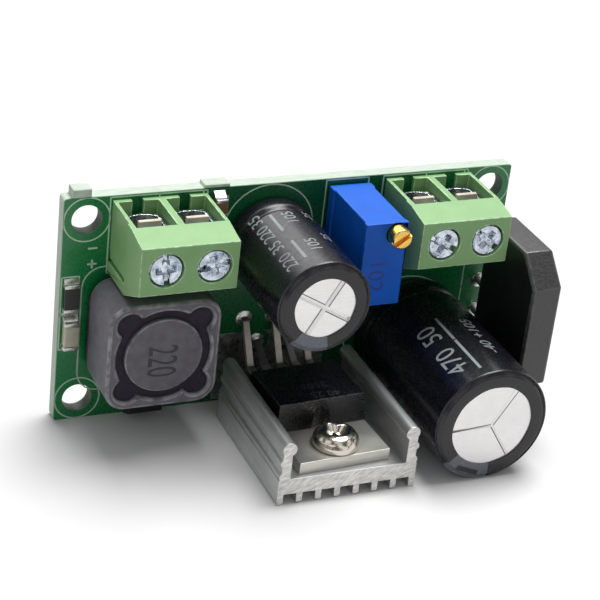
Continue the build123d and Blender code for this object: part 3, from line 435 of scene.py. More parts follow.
FINISHES: dict[str, Finish] = {
    "board": SolderMask("green solder mask", (0.0015, 0.095, 0.028), (0.003, 0.125, 0.036), 0.3,
        fine=3.0, broad=0.15, relief_um=3.0, dust=0.02, coat=0.15),
    "solder": Finish("bright solder", (0.62, 0.62, 0.6), (0.42, 0.42, 0.4), 0.3, 0.1, 0.95,
        fine=2.0, broad=1.2, relief_um=14.0, dust=0.0),
    # The pale edge colour of the terminal housing is painted edge highlight.
    "terminal_green": Finish("light green polyamide", (0.26, 0.49, 0.2), (0.23, 0.44, 0.175), 0.42,
        fine=9.0, relief_um=3.0, rubbed=(0.66, 0.88, 0.6), wear_and_highlight=0.8, dust=0.02),
    "tinned_brass": Finish("tinned brass", (0.74, 0.66, 0.55), (0.52, 0.45, 0.37), 0.42, 0.1, 0.25,
        fine=3.0, relief_um=6.0),
    "zinc": Finish("zinc plate", (0.74, 0.79, 0.86), (0.16, 0.22, 0.3), 0.18, 0.08, 1.0, fine=1.1,
        broad=1.1, relief_um=90.0, rubbed=(0.85, 0.87, 0.9), wear_and_highlight=0.5, dust=0.0),
    "trimmer_blue": Finish("blue moulding", (0.002, 0.13, 0.7), (0.002, 0.108, 0.62), 0.4, specular=0.25,
        fine=7.0, relief_um=3.0, rubbed=(0.06, 0.26, 0.85), wear_and_highlight=0.4, dust=0.01),
    "resin": Finish("cast resin", (0.018, 0.015, 0.026), (0.028, 0.024, 0.038), 0.55, 0.12, fine=1.5,
        broad=0.7, relief_um=40.0, specular=0.2, dust=0.02),
    "tinned_lead": DrawnMetal("tinned lead", (0.48, 0.45, 0.4), (0.26, 0.24, 0.21), 0.34, 0.1, 0.85,
        relief_um=5.0, dust=0.02),
    "brass": DrawnMetal("bare brass", (0.86, 0.53, 0.12), (0.7, 0.4, 0.07), 0.24, 0.08, 1.0,
        relief_um=5.0, dust=0.0, lines=(3.0, 9.0, 3.0), rubbed=(0.95, 0.78, 0.4), wear_and_highlight=0.5),
    "can": DrawnMetal("satin aluminium", (0.88, 0.86, 0.86), (0.75, 0.73, 0.73), 0.36, 0.1, 0.85,
        relief_um=2.0, dust=0.0, lines=(1.0, 1.0, 14.0)),
    "sleeve": Finish("black sleeve", (0.006, 0.006, 0.008), (0.01, 0.01, 0.013), 0.3),
    "rubber": Finish("black rubber", (0.012, 0.012, 0.012), (0.02, 0.02, 0.02), 0.75),
    "ferrite": Finish("grey ferrite", (0.11, 0.104, 0.126), (0.16, 0.152, 0.178), 0.55, 0.1, fine=8.0,
        broad=0.9, relief_um=10.0, rubbed=(0.4, 0.39, 0.42), wear_and_highlight=0.8, wear_and_highlight_size=1.1, dust=0.06),
    "copper_wire": Finish("enamelled wire", (0.45, 0.16, 0.06), (0.35, 0.12, 0.05), 0.35, metallic=0.8),
    "black_mould": Finish("black epoxy", (0.007, 0.007, 0.009), (0.013, 0.013, 0.015), 0.46, 0.1, fine=10.0,
        relief_um=7.0, rubbed=(0.1, 0.1, 0.11), wear_and_highlight=0.35, dust=0.02, specular=0.32),
    "polished_mould": Finish("polished epoxy", (0.003, 0.003, 0.005), (0.006, 0.006, 0.009), 0.3, 0.1, fine=5.0,
        relief_um=5.0, rubbed=(0.1, 0.1, 0.11), wear_and_highlight=0.3, dust=0.005),
    "bridge_mould": Finish("pressed epoxy", (0.006, 0.006, 0.007), (0.012, 0.012, 0.013), 0.38, 0.1, fine=4.0,
        relief_um=9.0, rubbed=(0.14, 0.14, 0.15), wear_and_highlight=0.4, dust=0.01, specular=0.8),
    "tinned_tab": DrawnMetal("tinned tab", (0.66, 0.65, 0.6), (0.5, 0.49, 0.45), 0.38, 0.1, 0.85,
        relief_um=4.0, dust=0.03, lines=(0.3, 0.3, 8.0)),
    "heatsink": Extrusion("extruded aluminium", (0.64, 0.65, 0.64), (0.48, 0.49, 0.49), 0.4, 0.1, 0.85,
        relief_um=7.0, dust=0.04, rubbed=(0.8, 0.8, 0.8), wear_and_highlight=0.4),
    "nickel": Finish("nickel plate", (0.72, 0.67, 0.58), (0.6, 0.55, 0.47), 0.16, 0.05, 1.0, fine=3.0,
        relief_um=3.0, dust=0.0),
    "chip_black": Finish("dark chip", (0.015, 0.015, 0.018), (0.03, 0.03, 0.03), 0.4, fine=8.0),
    "chip_brown": Finish("ceramic chip", (0.24, 0.13, 0.065), (0.19, 0.1, 0.05), 0.45, fine=8.0),
    "led_clear": Finish("clear lens", (0.62, 0.6, 0.46), (0.52, 0.52, 0.4), 0.15, 0.05, coat=0.5, milky=0.3),
    "silk": Finish("white print", (0.66, 0.84, 0.68), (0.5, 0.7, 0.54), 0.6, fine=12.0, relief_um=5.0, dust=0.0),
    "ink": Finish("pale ink", (0.3, 0.33, 0.34), (0.2, 0.23, 0.24), 0.5, fine=10.0, relief_um=2.0, dust=0.0),
    "dark_ink": Finish("dark ink", (0.03, 0.028, 0.034), (0.05, 0.05, 0.06), 0.6, fine=10.0, relief_um=2.0, dust=0.0),
    "faint_ink": Finish("faint print", (0.045, 0.045, 0.05), (0.02, 0.02, 0.022), 0.6,
        fine=3.0, relief_um=2.0, dust=0.0),
    "pressed_blue": Finish("pressed figures", (0.004, 0.035, 0.28), (0.004, 0.05, 0.36), 0.5, fine=10.0,
        relief_um=2.0, dust=0.0),
    "masked_copper": Finish("mask over copper", (0.004, 0.19, 0.052), (0.006, 0.22, 0.062), 0.3,
        fine=3.0, broad=0.15, relief_um=3.0, dust=0.02, coat=0.15),
}


class Paintbox:
    """Makes each material once, and gives a CAD node the one of its slot."""

    def __init__(self) -> None:
        """Build the shared groups and note each node's slot."""
        self.effects = Effects()
        self.made: dict[str, bpy.types.Material] = {}
        self.slot_of = {part["node"]: part["material_slot"] for part in frame["record"]["subparts"]}

    def get(self, finish: Finish) -> bpy.types.Material:
        """The material of a finish, built when first asked for."""
        if finish.name not in self.made:
            self.made[finish.name] = finish.material(self.effects)
        return self.made[finish.name]

    def dress_frame(self) -> None:
        """Put the finish of its slot on every CAD node."""
        for name, node in frame["nodes"].items():
            node.data.materials.clear()
            node.data.materials.append(self.get(FINISHES[self.slot_of[name]]))


# Shapes


def move(bm: BMesh, matrix: Matrix) -> None:
    """Move a whole mesh."""
    bmesh.ops.transform(bm, matrix=matrix, verts=bm.verts)


def shift(x: float, y: float, z: float = 0.0) -> Matrix:
    """A move without a turn."""
    return Matrix.Translation((x, y, z))


def rotation(degrees: float, axis: str = "Z") -> Matrix:
    """A turn about an axis through the origin."""
    return Matrix.Rotation(math.radians(degrees), 4, axis)


def link(name: str, data: bpy.types.ID) -> bpy.types.Object:
    """A new object in the scene."""
    made = bpy.data.objects.new(name, data)
    bpy.context.scene.collection.objects.link(made)
    return made


def baked(name: str, bm: BMesh) -> bpy.types.Mesh:
    """The mesh of an edit mesh, which is let go."""
    mesh = bpy.data.meshes.new(name)
    bm.to_mesh(mesh)
    bm.free()
    return mesh


def cut(bm: BMesh, at: Vector, normal: Vector, clear: bool = False) -> list[BMEdge]:
    """Cut a mesh with a plane, clear what lies past it if asked to, and return the edges along the cut."""
    geom = list(bm.verts) + list(bm.edges) + list(bm.faces)
    made = bmesh.ops.bisect_plane(bm, geom=geom, dist=1e-6, plane_co=at, plane_no=normal, clear_outer=clear)
    return [e for e in made["geom_cut"] if isinstance(e, BMEdge)]


def drawn_from(node: str) -> BMesh:
    """An edit mesh of a CAD node with its seams closed."""
    bm = bmesh.new()
    bm.from_mesh(frame["nodes"][node].data)
    bmesh.ops.remove_doubles(bm, verts=bm.verts, dist=SEAM)
    return bm


def creased(edges: list[BMEdge]) -> list[BMEdge]:
    """The edges that turn by more than the crease angle."""
    return [e for e in edges if len(e.link_faces) == 2 and e.calc_face_angle(0.0) > CREASE]


def round_edges(bm: BMesh, edges: list[BMEdge], width: float, segments: int) -> None:
    """Round some edges, and mark the new faces in the edge attribute.

    Args:
        bm: the mesh.
        edges: its edges to round.
        width: how far back the rounding starts.
        segments: steps of the rounding.
    """
    mark = bm.faces.layers.float.get("edge") or bm.faces.layers.float.new("edge")
    made = bmesh.ops.bevel(bm, geom=edges, offset=width, offset_type="OFFSET", segments=segments, profile=0.5,
                           affect="EDGES", material=-1, clamp_overlap=False)
    for face in made["faces"]:
        face[mark] = 1.0


def spun(profile: list[Triple], steps: int = 96) -> BMesh:
    """A closed ring or solid turned about z.

    Args:
        profile: radius, height and rounding of each corner of the section.
        steps: facets round the full turn.

    Returns:
        The mesh, in millimetres.
    """
    bm = bmesh.new()
    corners = [bm.verts.new((r, 0.0, z)) for r, z, _ in profile]
    closed = profile[0][0] > 0 or profile[-1][0] > 0
    pairs = list(zip(corners, corners[1:])) + ([(corners[-1], corners[0])] if closed else [])
    edges = [bm.edges.new(pair) for pair in pairs]
    bmesh.ops.spin(bm, geom=corners + edges, cent=(0, 0, 0), axis=(0, 0, 1), dvec=(0, 0, 0),
                   angle=math.tau, steps=steps, use_merge=True, use_duplicate=False)
    bmesh.ops.remove_doubles(bm, verts=bm.verts, dist=1e-5)
    bmesh.ops.recalc_face_normals(bm, faces=bm.faces)
    for r, z, rounding in profile:
        if rounding > 0:
            corner = [
                e for e in bm.edges
                if all(abs(v.co.z - z) < 1e-4 and abs(v.co.xy.length - r) < 1e-4 for v in e.verts)
            ]
            round_edges(bm, corner, rounding, 5)
    return bm


def bar(bm: BMesh, a: Pair, b: Pair, width: float, z0: float, z1: float) -> None:
    """Add a flat bar between two points of a face.

    Args:
        bm: the mesh it is added to.
        a: one end in x and y.
        b: the other end.
        width: width of the bar.
        z0: height of its back.
        z1: height of its front.
    """
    run = Vector(b) - Vector(a)
    middle = (Vector(a) + Vector(b)) / 2
    turn = Matrix.Rotation(math.atan2(run.y, run.x), 4, "Z")
    size = Matrix.Diagonal((run.length + width, width, z1 - z0, 1.0))
    bmesh.ops.create_cube(bm, size=1.0, matrix=shift(middle.x, middle.y, (z0 + z1) / 2) @ turn @ size)


def ring(bm: BMesh, x: float, y: float, r: float, width: float, z0: float, z1: float) -> None:
    """Add a flat ring round a point of a face."""
    half = width / 2
    part = spun([(r - half, z0, 0), (r + half, z0, 0), (r + half, z1, 0), (r - half, z1, 0)], 48)
    merge(bm, part, shift(x, y))


def disc(bm: BMesh, x: float, y: float, r: float, z0: float, z1: float) -> None:
    """Add a flat disc at a point of a face."""
    bmesh.ops.create_cone(bm, cap_ends=True, segments=32, radius1=r, radius2=r, depth=z1 - z0,
                          matrix=shift(x, y, (z0 + z1) / 2))


def merge(bm: BMesh, part: BMesh, placed: Matrix) -> None:
    """Move a part to its place, add it to a mesh and let the part go."""
    move(part, placed)
    mesh = baked("part", part)
    bm.from_mesh(mesh)
    bpy.data.meshes.remove(mesh)


def lettering(text: str, height: float, thickness: float) -> BMesh:
    """Plain figures as a closed mesh, centred, lying in x and y.

    Args:
        text: the figures.
        height: height of the type.
        thickness: thickness of the print.

    Returns:
        The mesh, in millimetres.
    """
    curve = bpy.data.curves.new("figures", "FONT")
    curve.body, curve.size, curve.extrude = text, height, thickness / 2
    curve.align_x, curve.align_y = "CENTER", "CENTER"
    curve.resolution_u = 4
    holder = link("figures", curve)
    mesh = bpy.data.meshes.new_from_object(holder)
    bpy.data.objects.remove(holder)
    bpy.data.curves.remove(curve)
    bm = bmesh.new()
    bm.from_mesh(mesh)
    bpy.data.meshes.remove(mesh)
    bmesh.ops.remove_doubles(bm, verts=bm.verts, dist=1e-5)
    return bm


def wrap(bm: BMesh, r: float, step: float) -> None:
    """Bend lettering round a cylinder about z: it reads towards the foot, its tops turn on round z.

    Args:
        bm: the lettering, cut into strips before it is bent.
        r: radius of the surface that it lies on.
        step: width of a strip.
    """
    low = min(v.co.y for v in bm.verts)
    high = max(v.co.y for v in bm.verts)
    at = low + step
    while at < high:
        cut(bm, (0, at, 0), (0, 1, 0))
        at += step
    for v in bm.verts:
        x, y, z = v.co
        angle, out = y / r, r + z
        v.co = (out * math.cos(angle), out * math.sin(angle), -x)
    bmesh.ops.recalc_face_normals(bm, faces=bm.faces)


@dataclass
class Assembly:
    """A sub-assembly that places its pieces on the frame."""

    paint: Paintbox

    def settle(self, name: str, bm: BMesh, finish: Finish, slot: str, body: str = BOARD,
               replaces: tuple[str, ...] = (), placed: Matrix = TO_FRAME, crease: float = 32.0) -> None:
        """Turn a mesh into a finished piece that rides on a body.

        Args:
            name: the piece's name.
            bm: its mesh, freed here.
            finish: its surface.
            slot: the record's material slot; not used.
            body: the body that it rides on.
            replaces: CAD nodes that it stands for.
            placed: how its coordinates go to the frame.
            crease: angle in degrees past which an edge stays crisp.
        """
        move(bm, placed)
        mesh = baked(name, bm)
        mesh.shade_smooth()
        mesh.set_sharp_from_angle(angle=math.radians(crease))
        piece = link(name, mesh)
        mesh.materials.append(self.paint.get(finish))
        even = piece.modifiers.new("even shading", "WEIGHTED_NORMAL")
        even.keep_sharp = True
        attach(piece, body)
        if replaces:
            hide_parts(*replaces)
        log.info("%s: %d faces on %s", name, len(mesh.polygons), body)

    def soften(self, node: str, width: float, segments: int = 2, reshape: Callable[[BMesh], None] | None = None,
               finish: Finish | None = None) -> None:
        """Stand a merged copy with rounded edges in for a CAD node.

        Args:
            node: the CAD node.
            width: rounding in millimetres.
            segments: steps of the rounding.
            reshape: what changes the mesh first, in board coordinates and millimetres.
            finish: another finish than that of the node's slot.
        """
        bm = drawn_from(node)
        bmesh.ops.dissolve_limit(bm, angle_limit=math.radians(0.6), verts=bm.verts, edges=bm.edges,
                                 use_dissolve_boundaries=False)
        move(bm, TO_FRAME.inverted())
        if reshape:
            reshape(bm)
        round_edges(bm, creased(list(bm.edges)), width, segments)
        slot = self.paint.slot_of[node]
        body = frame["nodes"][node]["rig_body"]
        self.settle(f"soft_{node}", bm, finish or FINISHES[slot], slot, body, (node,))

    def soften_all(self, **roundings: tuple[float, int]) -> None:
        """Round the edges of several nodes, each by its own width in its own number of steps."""
        for node, (width, segments) in roundings.items():
            self.soften(node, width, segments)

    def mark(self, node: str, text: str, height: float, off: Triple, finish: str, narrowed: float = 1.0) -> None:
        """Lay figures on a node's front, off its middle by a shift, turned to read down the board."""
        low, high = self.corners(node)
        middle = (low + high).xy / 2
        bm = lettering(text, height, MARK_T)
        at = shift(middle.x + off[0], middle.y + off[1], high.z + off[2])
        move(bm, at @ rotation(-90) @ Matrix.Diagonal((narrowed, 1.0, 1.0, 1.0)))
        self.settle(f"{node.split('_')[0]}_figures", bm, FINISHES[finish], self.paint.slot_of[node])

    def corners(self, node: str) -> tuple[Vector, Vector]:
        """Lowest and highest corner of a node, in board coordinates and millimetres."""
        low, high = (TO_FRAME.inverted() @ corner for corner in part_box(node))
        return Vector(map(min, low, high)), Vector(map(max, low, high))


def islands(node: str) -> list[tuple[Vector, Vector]]:
    """Corners of each separate solid of a node, in board coordinates and millimetres."""
    bm = drawn_from(node)
    move(bm, TO_FRAME.inverted())
    left, found = set(bm.verts), []
    while left:
        reached, waiting = set(), [next(iter(left))]
        while waiting:
            vert = waiting.pop()
            if vert not in reached:
                reached.add(vert)
                waiting += [e.other_vert(vert) for e in vert.link_edges]
        left -= reached
        axes = list(zip(*(v.co for v in reached)))
        found.append((Vector(map(min, axes)), Vector(map(max, axes))))
    bm.free()
    return found


@dataclass
class CircuitBoard(Assembly):
    """The bare board with its print, vias, tracks and solder."""

    half_w: float = 25.5
    half_h: float = 13.0
    print_margin: float = 0.08
    silk_w: float = 0.15
    silk_t: float = 0.02
    hole_ring_r: float = 2.45
    bend_r: float = 2.3
    via_r: float = 0.32
    vias: tuple[Pair, ...] = (
        (1.3, 7.3), (1.0, 19.6), (17.6, 14.2), (17.2, 20.6), (33.9, 12.6), (35.0, 14.2), (46.6, 11.2),
    )
    via_w: float = 0.24
    via_dot_r: float = 0.08
    sign_half: float = 0.4
    sign_w: float = 0.2
    back_z: float = -1.6
    run_step: float = 0.001
    pad_r: float = 1.15
    least_lead_r: float = 0.24
    fillet_w: float = 0.6
    tracks: tuple[tuple[float, tuple[Pair, ...]], ...] = (
        (1.5, ((17.84, 5.7), (20.8, 5.7), (23.6, 2.66))),
        (1.5, ((12.76, 5.7), (12.76, 1.4), (15.3, -1.16), (23.6, -1.16))),
        (1.5, ((23.6, -4.97), (20.4, -4.97), (17.75, -6.5))),
        (1.5, ((12.75, -6.5), (10.6, -8.6), (-5.6, -8.6), (-7.4, -6.8), (-7.4, -4.4), (-4.68, -2.9))),
        (0.5, ((5.9, 5.04), (5.9, -3.8), (3.8, -5.9), (0.42, -5.9))),
        (0.5, ((5.9, 7.58), (7.6, 7.58), (7.6, 2.6), (5.9, 0.9))),
        (1.5, ((-5.3, 6.4), (-7.0, 5.7), (-12.76, 5.7))),
        (0.8, ((-1.28, -2.9), (-1.28, 1.6), (-0.3, 3.0), (-0.3, 6.4))),
    )

    def build(self) -> None:
        """Build the board's own dress."""
        self.soften_all(circuit_board=(0.06, 1), tinned_area=(0.02, 1))
        self.print_marks()
        self.plate_vias()
        self.back_tracks()
        self.solder()

    def print_marks(self) -> None:
        """Print the outlines, rings and signs on the component face, drawn from its lower left corner."""
        bm = bmesh.new()
        rings = [(x, y, self.hole_ring_r) for x in (2.5, 48.5) for y in (2.5, 23.5)]
        for spot in (*rings, (22.53, 20.75, 5.09), (39.9, 6.42, 6.8)):
            ring(bm, *spot, self.silk_w, 0.0, self.silk_t)
        blocks = ((4.9, 17.2, 15.36, 25.8), (35.43, 17.2, 45.62, 25.8))
        boxes = (
            (28.76, 15.4, 33.69, 25.8), (16.1, 20.3, 17.7, 24.9), (0.17, 12.9, 2.04, 17.1), (0.17, 8.6, 2.04, 12.7),
        )
        lines = [(47.0, 9.5, 47.0, 14.0), (48.7, 6.4, 48.7, 9.4)]
        for x0, _, x1, top in blocks:
            lines += [(x1 - 0.45, top, x1 - 0.45, 24.6), ((x0 + x1) / 2, top, (x0 + x1) / 2, 25.2)]
        outlines = [[(x0, y0), (x1, y0), (x1, y1), (x0, y1)] for x0, y0, x1, y1 in blocks + boxes]
        outlines.append([
            (x + self.bend_r * math.cos(turn), y + self.bend_r * math.sin(turn))
            for x, y, start in ((13.2, 15.7, 0), (4.65, 15.7, 90), (4.65, 5.6, 180), (13.2, 5.6, 270))
            for turn in (math.radians(start + step) for step in range(0, 91, 18))
        ])
        for corners in outlines:
            lines += [(*a, *b) for a, b in zip(corners, corners[1:] + corners[:1])]
        for x0, y0, x1, y1 in lines:
            bar(bm, (x0, y0), (x1, y1), self.silk_w, 0.0, self.silk_t)
        half = self.sign_half
        for x, y, upright in ((3.3, 20.2, False), (3.3, 18.4, True), (46.9, 20.6, False), (46.9, 18.6, True)):
            bar(bm, (x - half, y), (x + half, y), self.sign_w, 0.0, self.silk_t)
            if upright:
                bar(bm, (x, y - half), (x, y + half), self.sign_w, 0.0, self.silk_t)
        move(bm, shift(-self.half_w, -self.half_h))
        self.trim(bm)
        self.settle("board_print", bm, FINISHES["silk"], "board")

    def trim(self, bm: BMesh) -> None:
        """Cut the print off at the board's edges, and close the cuts."""
        for axis, limit in enumerate((self.half_w - self.print_margin, self.half_h - self.print_margin)):
            for side in (-1, 1):
                normal, at = Vector(), Vector()
                normal[axis], at[axis] = side, side * limit
                bmesh.ops.holes_fill(bm, edges=cut(bm, at, normal, clear=True))
        bmesh.ops.recalc_face_normals(bm, faces=bm.faces)

    def plate_vias(self) -> None:
        """Raise the small masked rings of the plated holes."""
        bm = bmesh.new()
        for x, y in self.vias:
            ring(bm, x, y, self.via_r, self.via_w, 0.0, self.silk_t)
            disc(bm, x, y, self.via_dot_r, 0.0, self.silk_t / 2)
        move(bm, shift(-self.half_w, -self.half_h))
        self.settle("plated_vias", bm, FINISHES["masked_copper"], "board")

    def back_tracks(self) -> None:
        """Raise the masked tracks and pads of the solder side, each run at a height of its own."""
        bm = bmesh.new()
        runs = [(width, a, b) for width, corners in self.tracks for a, b in zip(corners, corners[1:])]
        for step, (width, a, b) in enumerate(runs):
            bar(bm, a, b, width, self.back_z - self.silk_t - self.run_step * step, self.back_z + 0.01)
        for low, high in islands("solder_joints"):
            disc(bm, *(low + high).xy / 2, self.pad_r, self.back_z - self.silk_t * 0.9, self.back_z + 0.01)
        self.settle("back_tracks", bm, FINISHES["masked_copper"], "board")

    def solder(self) -> None:
        """Turn a smooth joint for each lead: a low fillet in front and a hollow cone behind."""
        bm = bmesh.new()
        for low, high in islands("solder_joints"):
            r = (high.x - low.x) / 2
            lead_r = max(self.least_lead_r, r - self.fillet_w)
            back = low.z
            profile = [
                (lead_r * 0.9, back, 0), (lead_r + 0.06, back + 0.02, 0), (lead_r + 0.16, back + 0.3, 0),
                (r * 0.72, back + 0.62, 0), (r * 0.93, back + 0.86, 0), (r, back + 0.98, 0), (r, self.back_z, 0),
                (r, 0.03, 0), (r * 0.93, 0.09, 0), (r * 0.7, high.z * 0.95, 0), (lead_r * 0.9, high.z + 0.12, 0),
            ]
            merge(bm, spun(profile, 28), shift(*(low + high).xy / 2))
        self.settle("solder_fillets", bm, FINISHES["solder"], "solder", replaces=("solder_joints",), crease=60.0)


class Side(Enum):
    """The two ends of the module, named as the frame's nodes are."""

    OUTPUT = "output"
    INPUT = "input"


@dataclass
class TerminalBlock(Assembly):
    """One screw terminal: housing, contacts, screws and rising clamps."""

    side: Side = Side.OUTPUT
    head_r: float = 1.78
    head_t: float = 1.4
    head_lift: float = 0.4
    head_edge: float = 0.35
    edge_left: float = 0.15
    recess_depth: float = 0.95
    recess_r: float = 1.0
    floor_lift: float = 0.2
    flat: float = 0.01
    near: float = 0.05

    def raise_head(self, bm: BMesh) -> None:
        """Bring a clamp screw's head up to the face of its block, with a finer chamfer."""
        low = min(v.co.z for v in bm.verts)
        foot = [v.co for v in bm.verts if v.co.z < low + self.flat]
        middle = sum(foot, Vector()) / len(foot)
        top = max(v.co.z for v in bm.verts)
        finer = self.head_edge - self.edge_left
        for v in bm.verts:
            out, down = (v.co - middle).xy.length, top - v.co.z
            if abs(down - self.recess_depth) < 2 * self.near and out < self.recess_r:
                v.co.z += self.floor_lift
            if down < self.flat and out > self.head_r - self.head_edge - 2 * self.near:
                v.co.xy = middle.xy + (v.co - middle).xy * (out + finer) / out
            if abs(down - self.head_edge) < self.near and out > self.head_r - self.near:
                v.co.z += finer
            if down < self.head_t + self.flat:
                v.co.z += self.head_lift

    def build(self) -> None:
        """Build the block's dress."""
        name = self.side.value
        self.soften(f"{name}_terminal_housing", 0.09)
        self.soften(f"{name}_terminal_contacts", 0.04, 1)
        for pole in ("left", "right"):
            self.soften(f"{name}_{pole}_clamp_screw", 0.05, reshape=self.raise_head)
            self.soften(f"{name}_{pole}_clamp_cage", 0.06)


@dataclass
class Trimmer(Assembly):
    """Multi-turn trimmer: box, brass screw and plain figures on its front."""

    figures: str = "102"
    figure_h: float = 2.6
    figure_off: Triple = (-0.7, -1.2, 0.0)

    def build(self) -> None:
        """Build the trimmer's dress."""
        self.soften_all(trimmer_housing=(0.14, 3), trimmer_screw=(0.06, 2), trimmer_fill=(0.03, 1))
        self.mark("trimmer_housing", self.figures, self.figure_h, self.figure_off, "pressed_blue")


@dataclass
class Capacitor(Assembly):
    """Electrolytic capacitor: can, shrunk sleeve with a stripe, and print."""

    name: str = "small_capacitor"
    window_r: float = 3.3
    sleeve_t: float = 0.12
    shoulder: float = 0.6
    crimp_z: float = 2.65
    crimp: float = 0.42
    stripe_from: float = -132.0
    stripe_to: float = -80.0
    figures: tuple[tuple[str, float, float, float], ...] = ()
    bars: tuple[Triple, ...] = ()
    scores: tuple[float, ...] = (60.0, 150.0, 240.0, 330.0)
    score_w: float = 0.6
    # Width of the painted shadow along each score line.
    score_shadow_w: float = 0.09
    bar_w: float = 0.32
    sign_l: float = 0.0
    sunk: float = 0.002

    def build(self) -> None:
        """Build the capacitor's dress."""
        self.soften(f"{self.name}_can", 0.03, 1)
        low, high = self.corners(f"{self.name}_sleeve")
        centre, r = tuple((low + high).xy / 2), (high.x - low.x) / 2
        rim = high.z - 0.01
        finish = Sleeve(f"{self.name} sleeve", (0.004, 0.004, 0.007), (0.007, 0.007, 0.011), 0.26, 0.05,
                        fine=2.2, broad=0.5, relief_um=1.2, dust=0.0, centre=centre,
                        stripe_from=self.stripe_from, stripe_to=self.stripe_to)
        self.sleeve(centre, r, low.z, rim, finish)
        self.paint_score_shadows(centre, self.corners(f"{self.name}_can")[1].z)
        if self.sign_l:
            self.sign(centre, r, rim)
        for index, (length, along, turn) in enumerate(self.bars):
            bm = bmesh.new()
            bar(bm, (-length / 2, 0), (length / 2, 0), self.bar_w, -INK_T / 2, INK_T / 2)
            self.print_round(f"bar_{index}", bm, r, 0.1, shift(*centre, along) @ rotation(turn))
        for index, (text, height, along, turn) in enumerate(self.figures):
            bm = lettering(text, height, INK_T)
            self.print_round(f"figures_{index}", bm, r, 0.25, shift(*centre, along) @ rotation(turn))

    def paint_score_shadows(self, centre: Pair, z: float) -> None:
        """Lay a thin dark bar along one edge of each score line in the vent, as painted shadow in the groove."""
        bm = bmesh.new()
        for turn in self.scores:
            line = bmesh.new()
            half = self.score_w / 2
            bar(line, (half, -half), (self.window_r - 0.1, -half), self.score_shadow_w, z - 0.01, z + 0.006)
            merge(bm, line, shift(*centre) @ rotation(turn))
        self.settle(f"{self.name}_score_shadows", bm, FINISHES["dark_ink"], "can")

    def sign(self, centre: Pair, r: float, z: float) -> None:
        """Put the minus sign on the rim, over the stripe."""
        turn = (self.stripe_from + self.stripe_to) / 2
        middle = (self.window_r + r) / 2
        bm = bmesh.new()
        bar(bm, (middle, -self.sign_l / 2), (middle, self.sign_l / 2), self.sign_l / 4, z - 0.02, z + 0.006)
        move(bm, shift(*centre) @ rotation(turn))
        self.settle(f"{self.name}_minus_sign", bm, FINISHES["sleeve"], "sleeve")

    def print_round(self, name: str, bm: BMesh, r: float, step: float, placed: Matrix) -> None:
        """Bend print round the side, in strips of a step, and put it in its place."""
        wrap(bm, r - self.sunk, step)
        move(bm, placed)
        self.settle(f"{self.name}_{name}", bm, FINISHES["ink"], "sleeve")

    def sleeve(self, centre: Pair, r: float, z0: float, z1: float, finish: Finish) -> None:
        """Turn the sleeve: rounded shoulder, crimp near the foot, and an uneven shrunk rim.

        Args:
            centre: the can's axis.
            r: outer radius.
            z0: height of the foot.
            z1: height of the rim.
            finish: its surface.
        """
        t = self.sleeve_t
        c, d = self.crimp_z, self.crimp
        profile = [
            (self.window_r, z1 - t, 0.03), (self.window_r, z1, 0.05), (r - 0.62, z1, 0.06),
            (r - 0.4, z1 - 0.3, 0.05), (r - 0.24, z1 - 0.34, 0.03), (r - 0.1, z1 - 0.22, 0.04), (r, z1 - 0.4, 0.05),
            (r, c + 0.6, 0.2), (r - d, c, 0.25), (r, c - 0.6, 0.2), (r, z0, 0.3), (r - 0.8, z0, 0),
            (r - 0.8, z0 + t, 0), (r - t, z0 + t, 0), (r - t, c - 0.6, 0), (r - d - t, c, 0),
            (r - t, c + 0.6, 0), (r - t, z1 - t - self.shoulder * 0.6, 0), (r - t - self.shoulder * 0.6, z1 - t, 0),
        ]
        bm = spun(profile, 120)
        for v in bm.verts:
            out = v.co.xy.length
            if v.co.z > z1 - 0.4 and out < self.window_r + 0.25:
                turn = math.atan2(v.co.y, v.co.x)
                wave = noise.noise(Vector((math.cos(turn), math.sin(turn), r)) * 2.6)
                v.co.xy *= 1 + 0.07 * wave / self.window_r
        bmesh.ops.translate(bm, vec=(*centre, 0), verts=bm.verts)
        self.settle(f"{self.name}_shrunk_sleeve", bm, finish, "sleeve", replaces=(f"{self.name}_sleeve",))


@dataclass
class Inductor(Assembly):
    """Shielded inductor with plain figures on its core."""

    figures: str = "220"
    figure_h: float = 4.6
    figure_off: Triple = (-0.3, -0.6, 0.005)
    narrowed: float = 0.55

    def build(self) -> None:
        """Build the inductor's dress."""
        self.soften_all(inductor_shield=(0.34, 3), inductor_core=(0.16, 3), inductor_glue=(0.02, 1),
                        inductor_base=(0.1, 2))
        self.mark("inductor_core", self.figures, self.figure_h, self.figure_off, "dark_ink", self.narrowed)


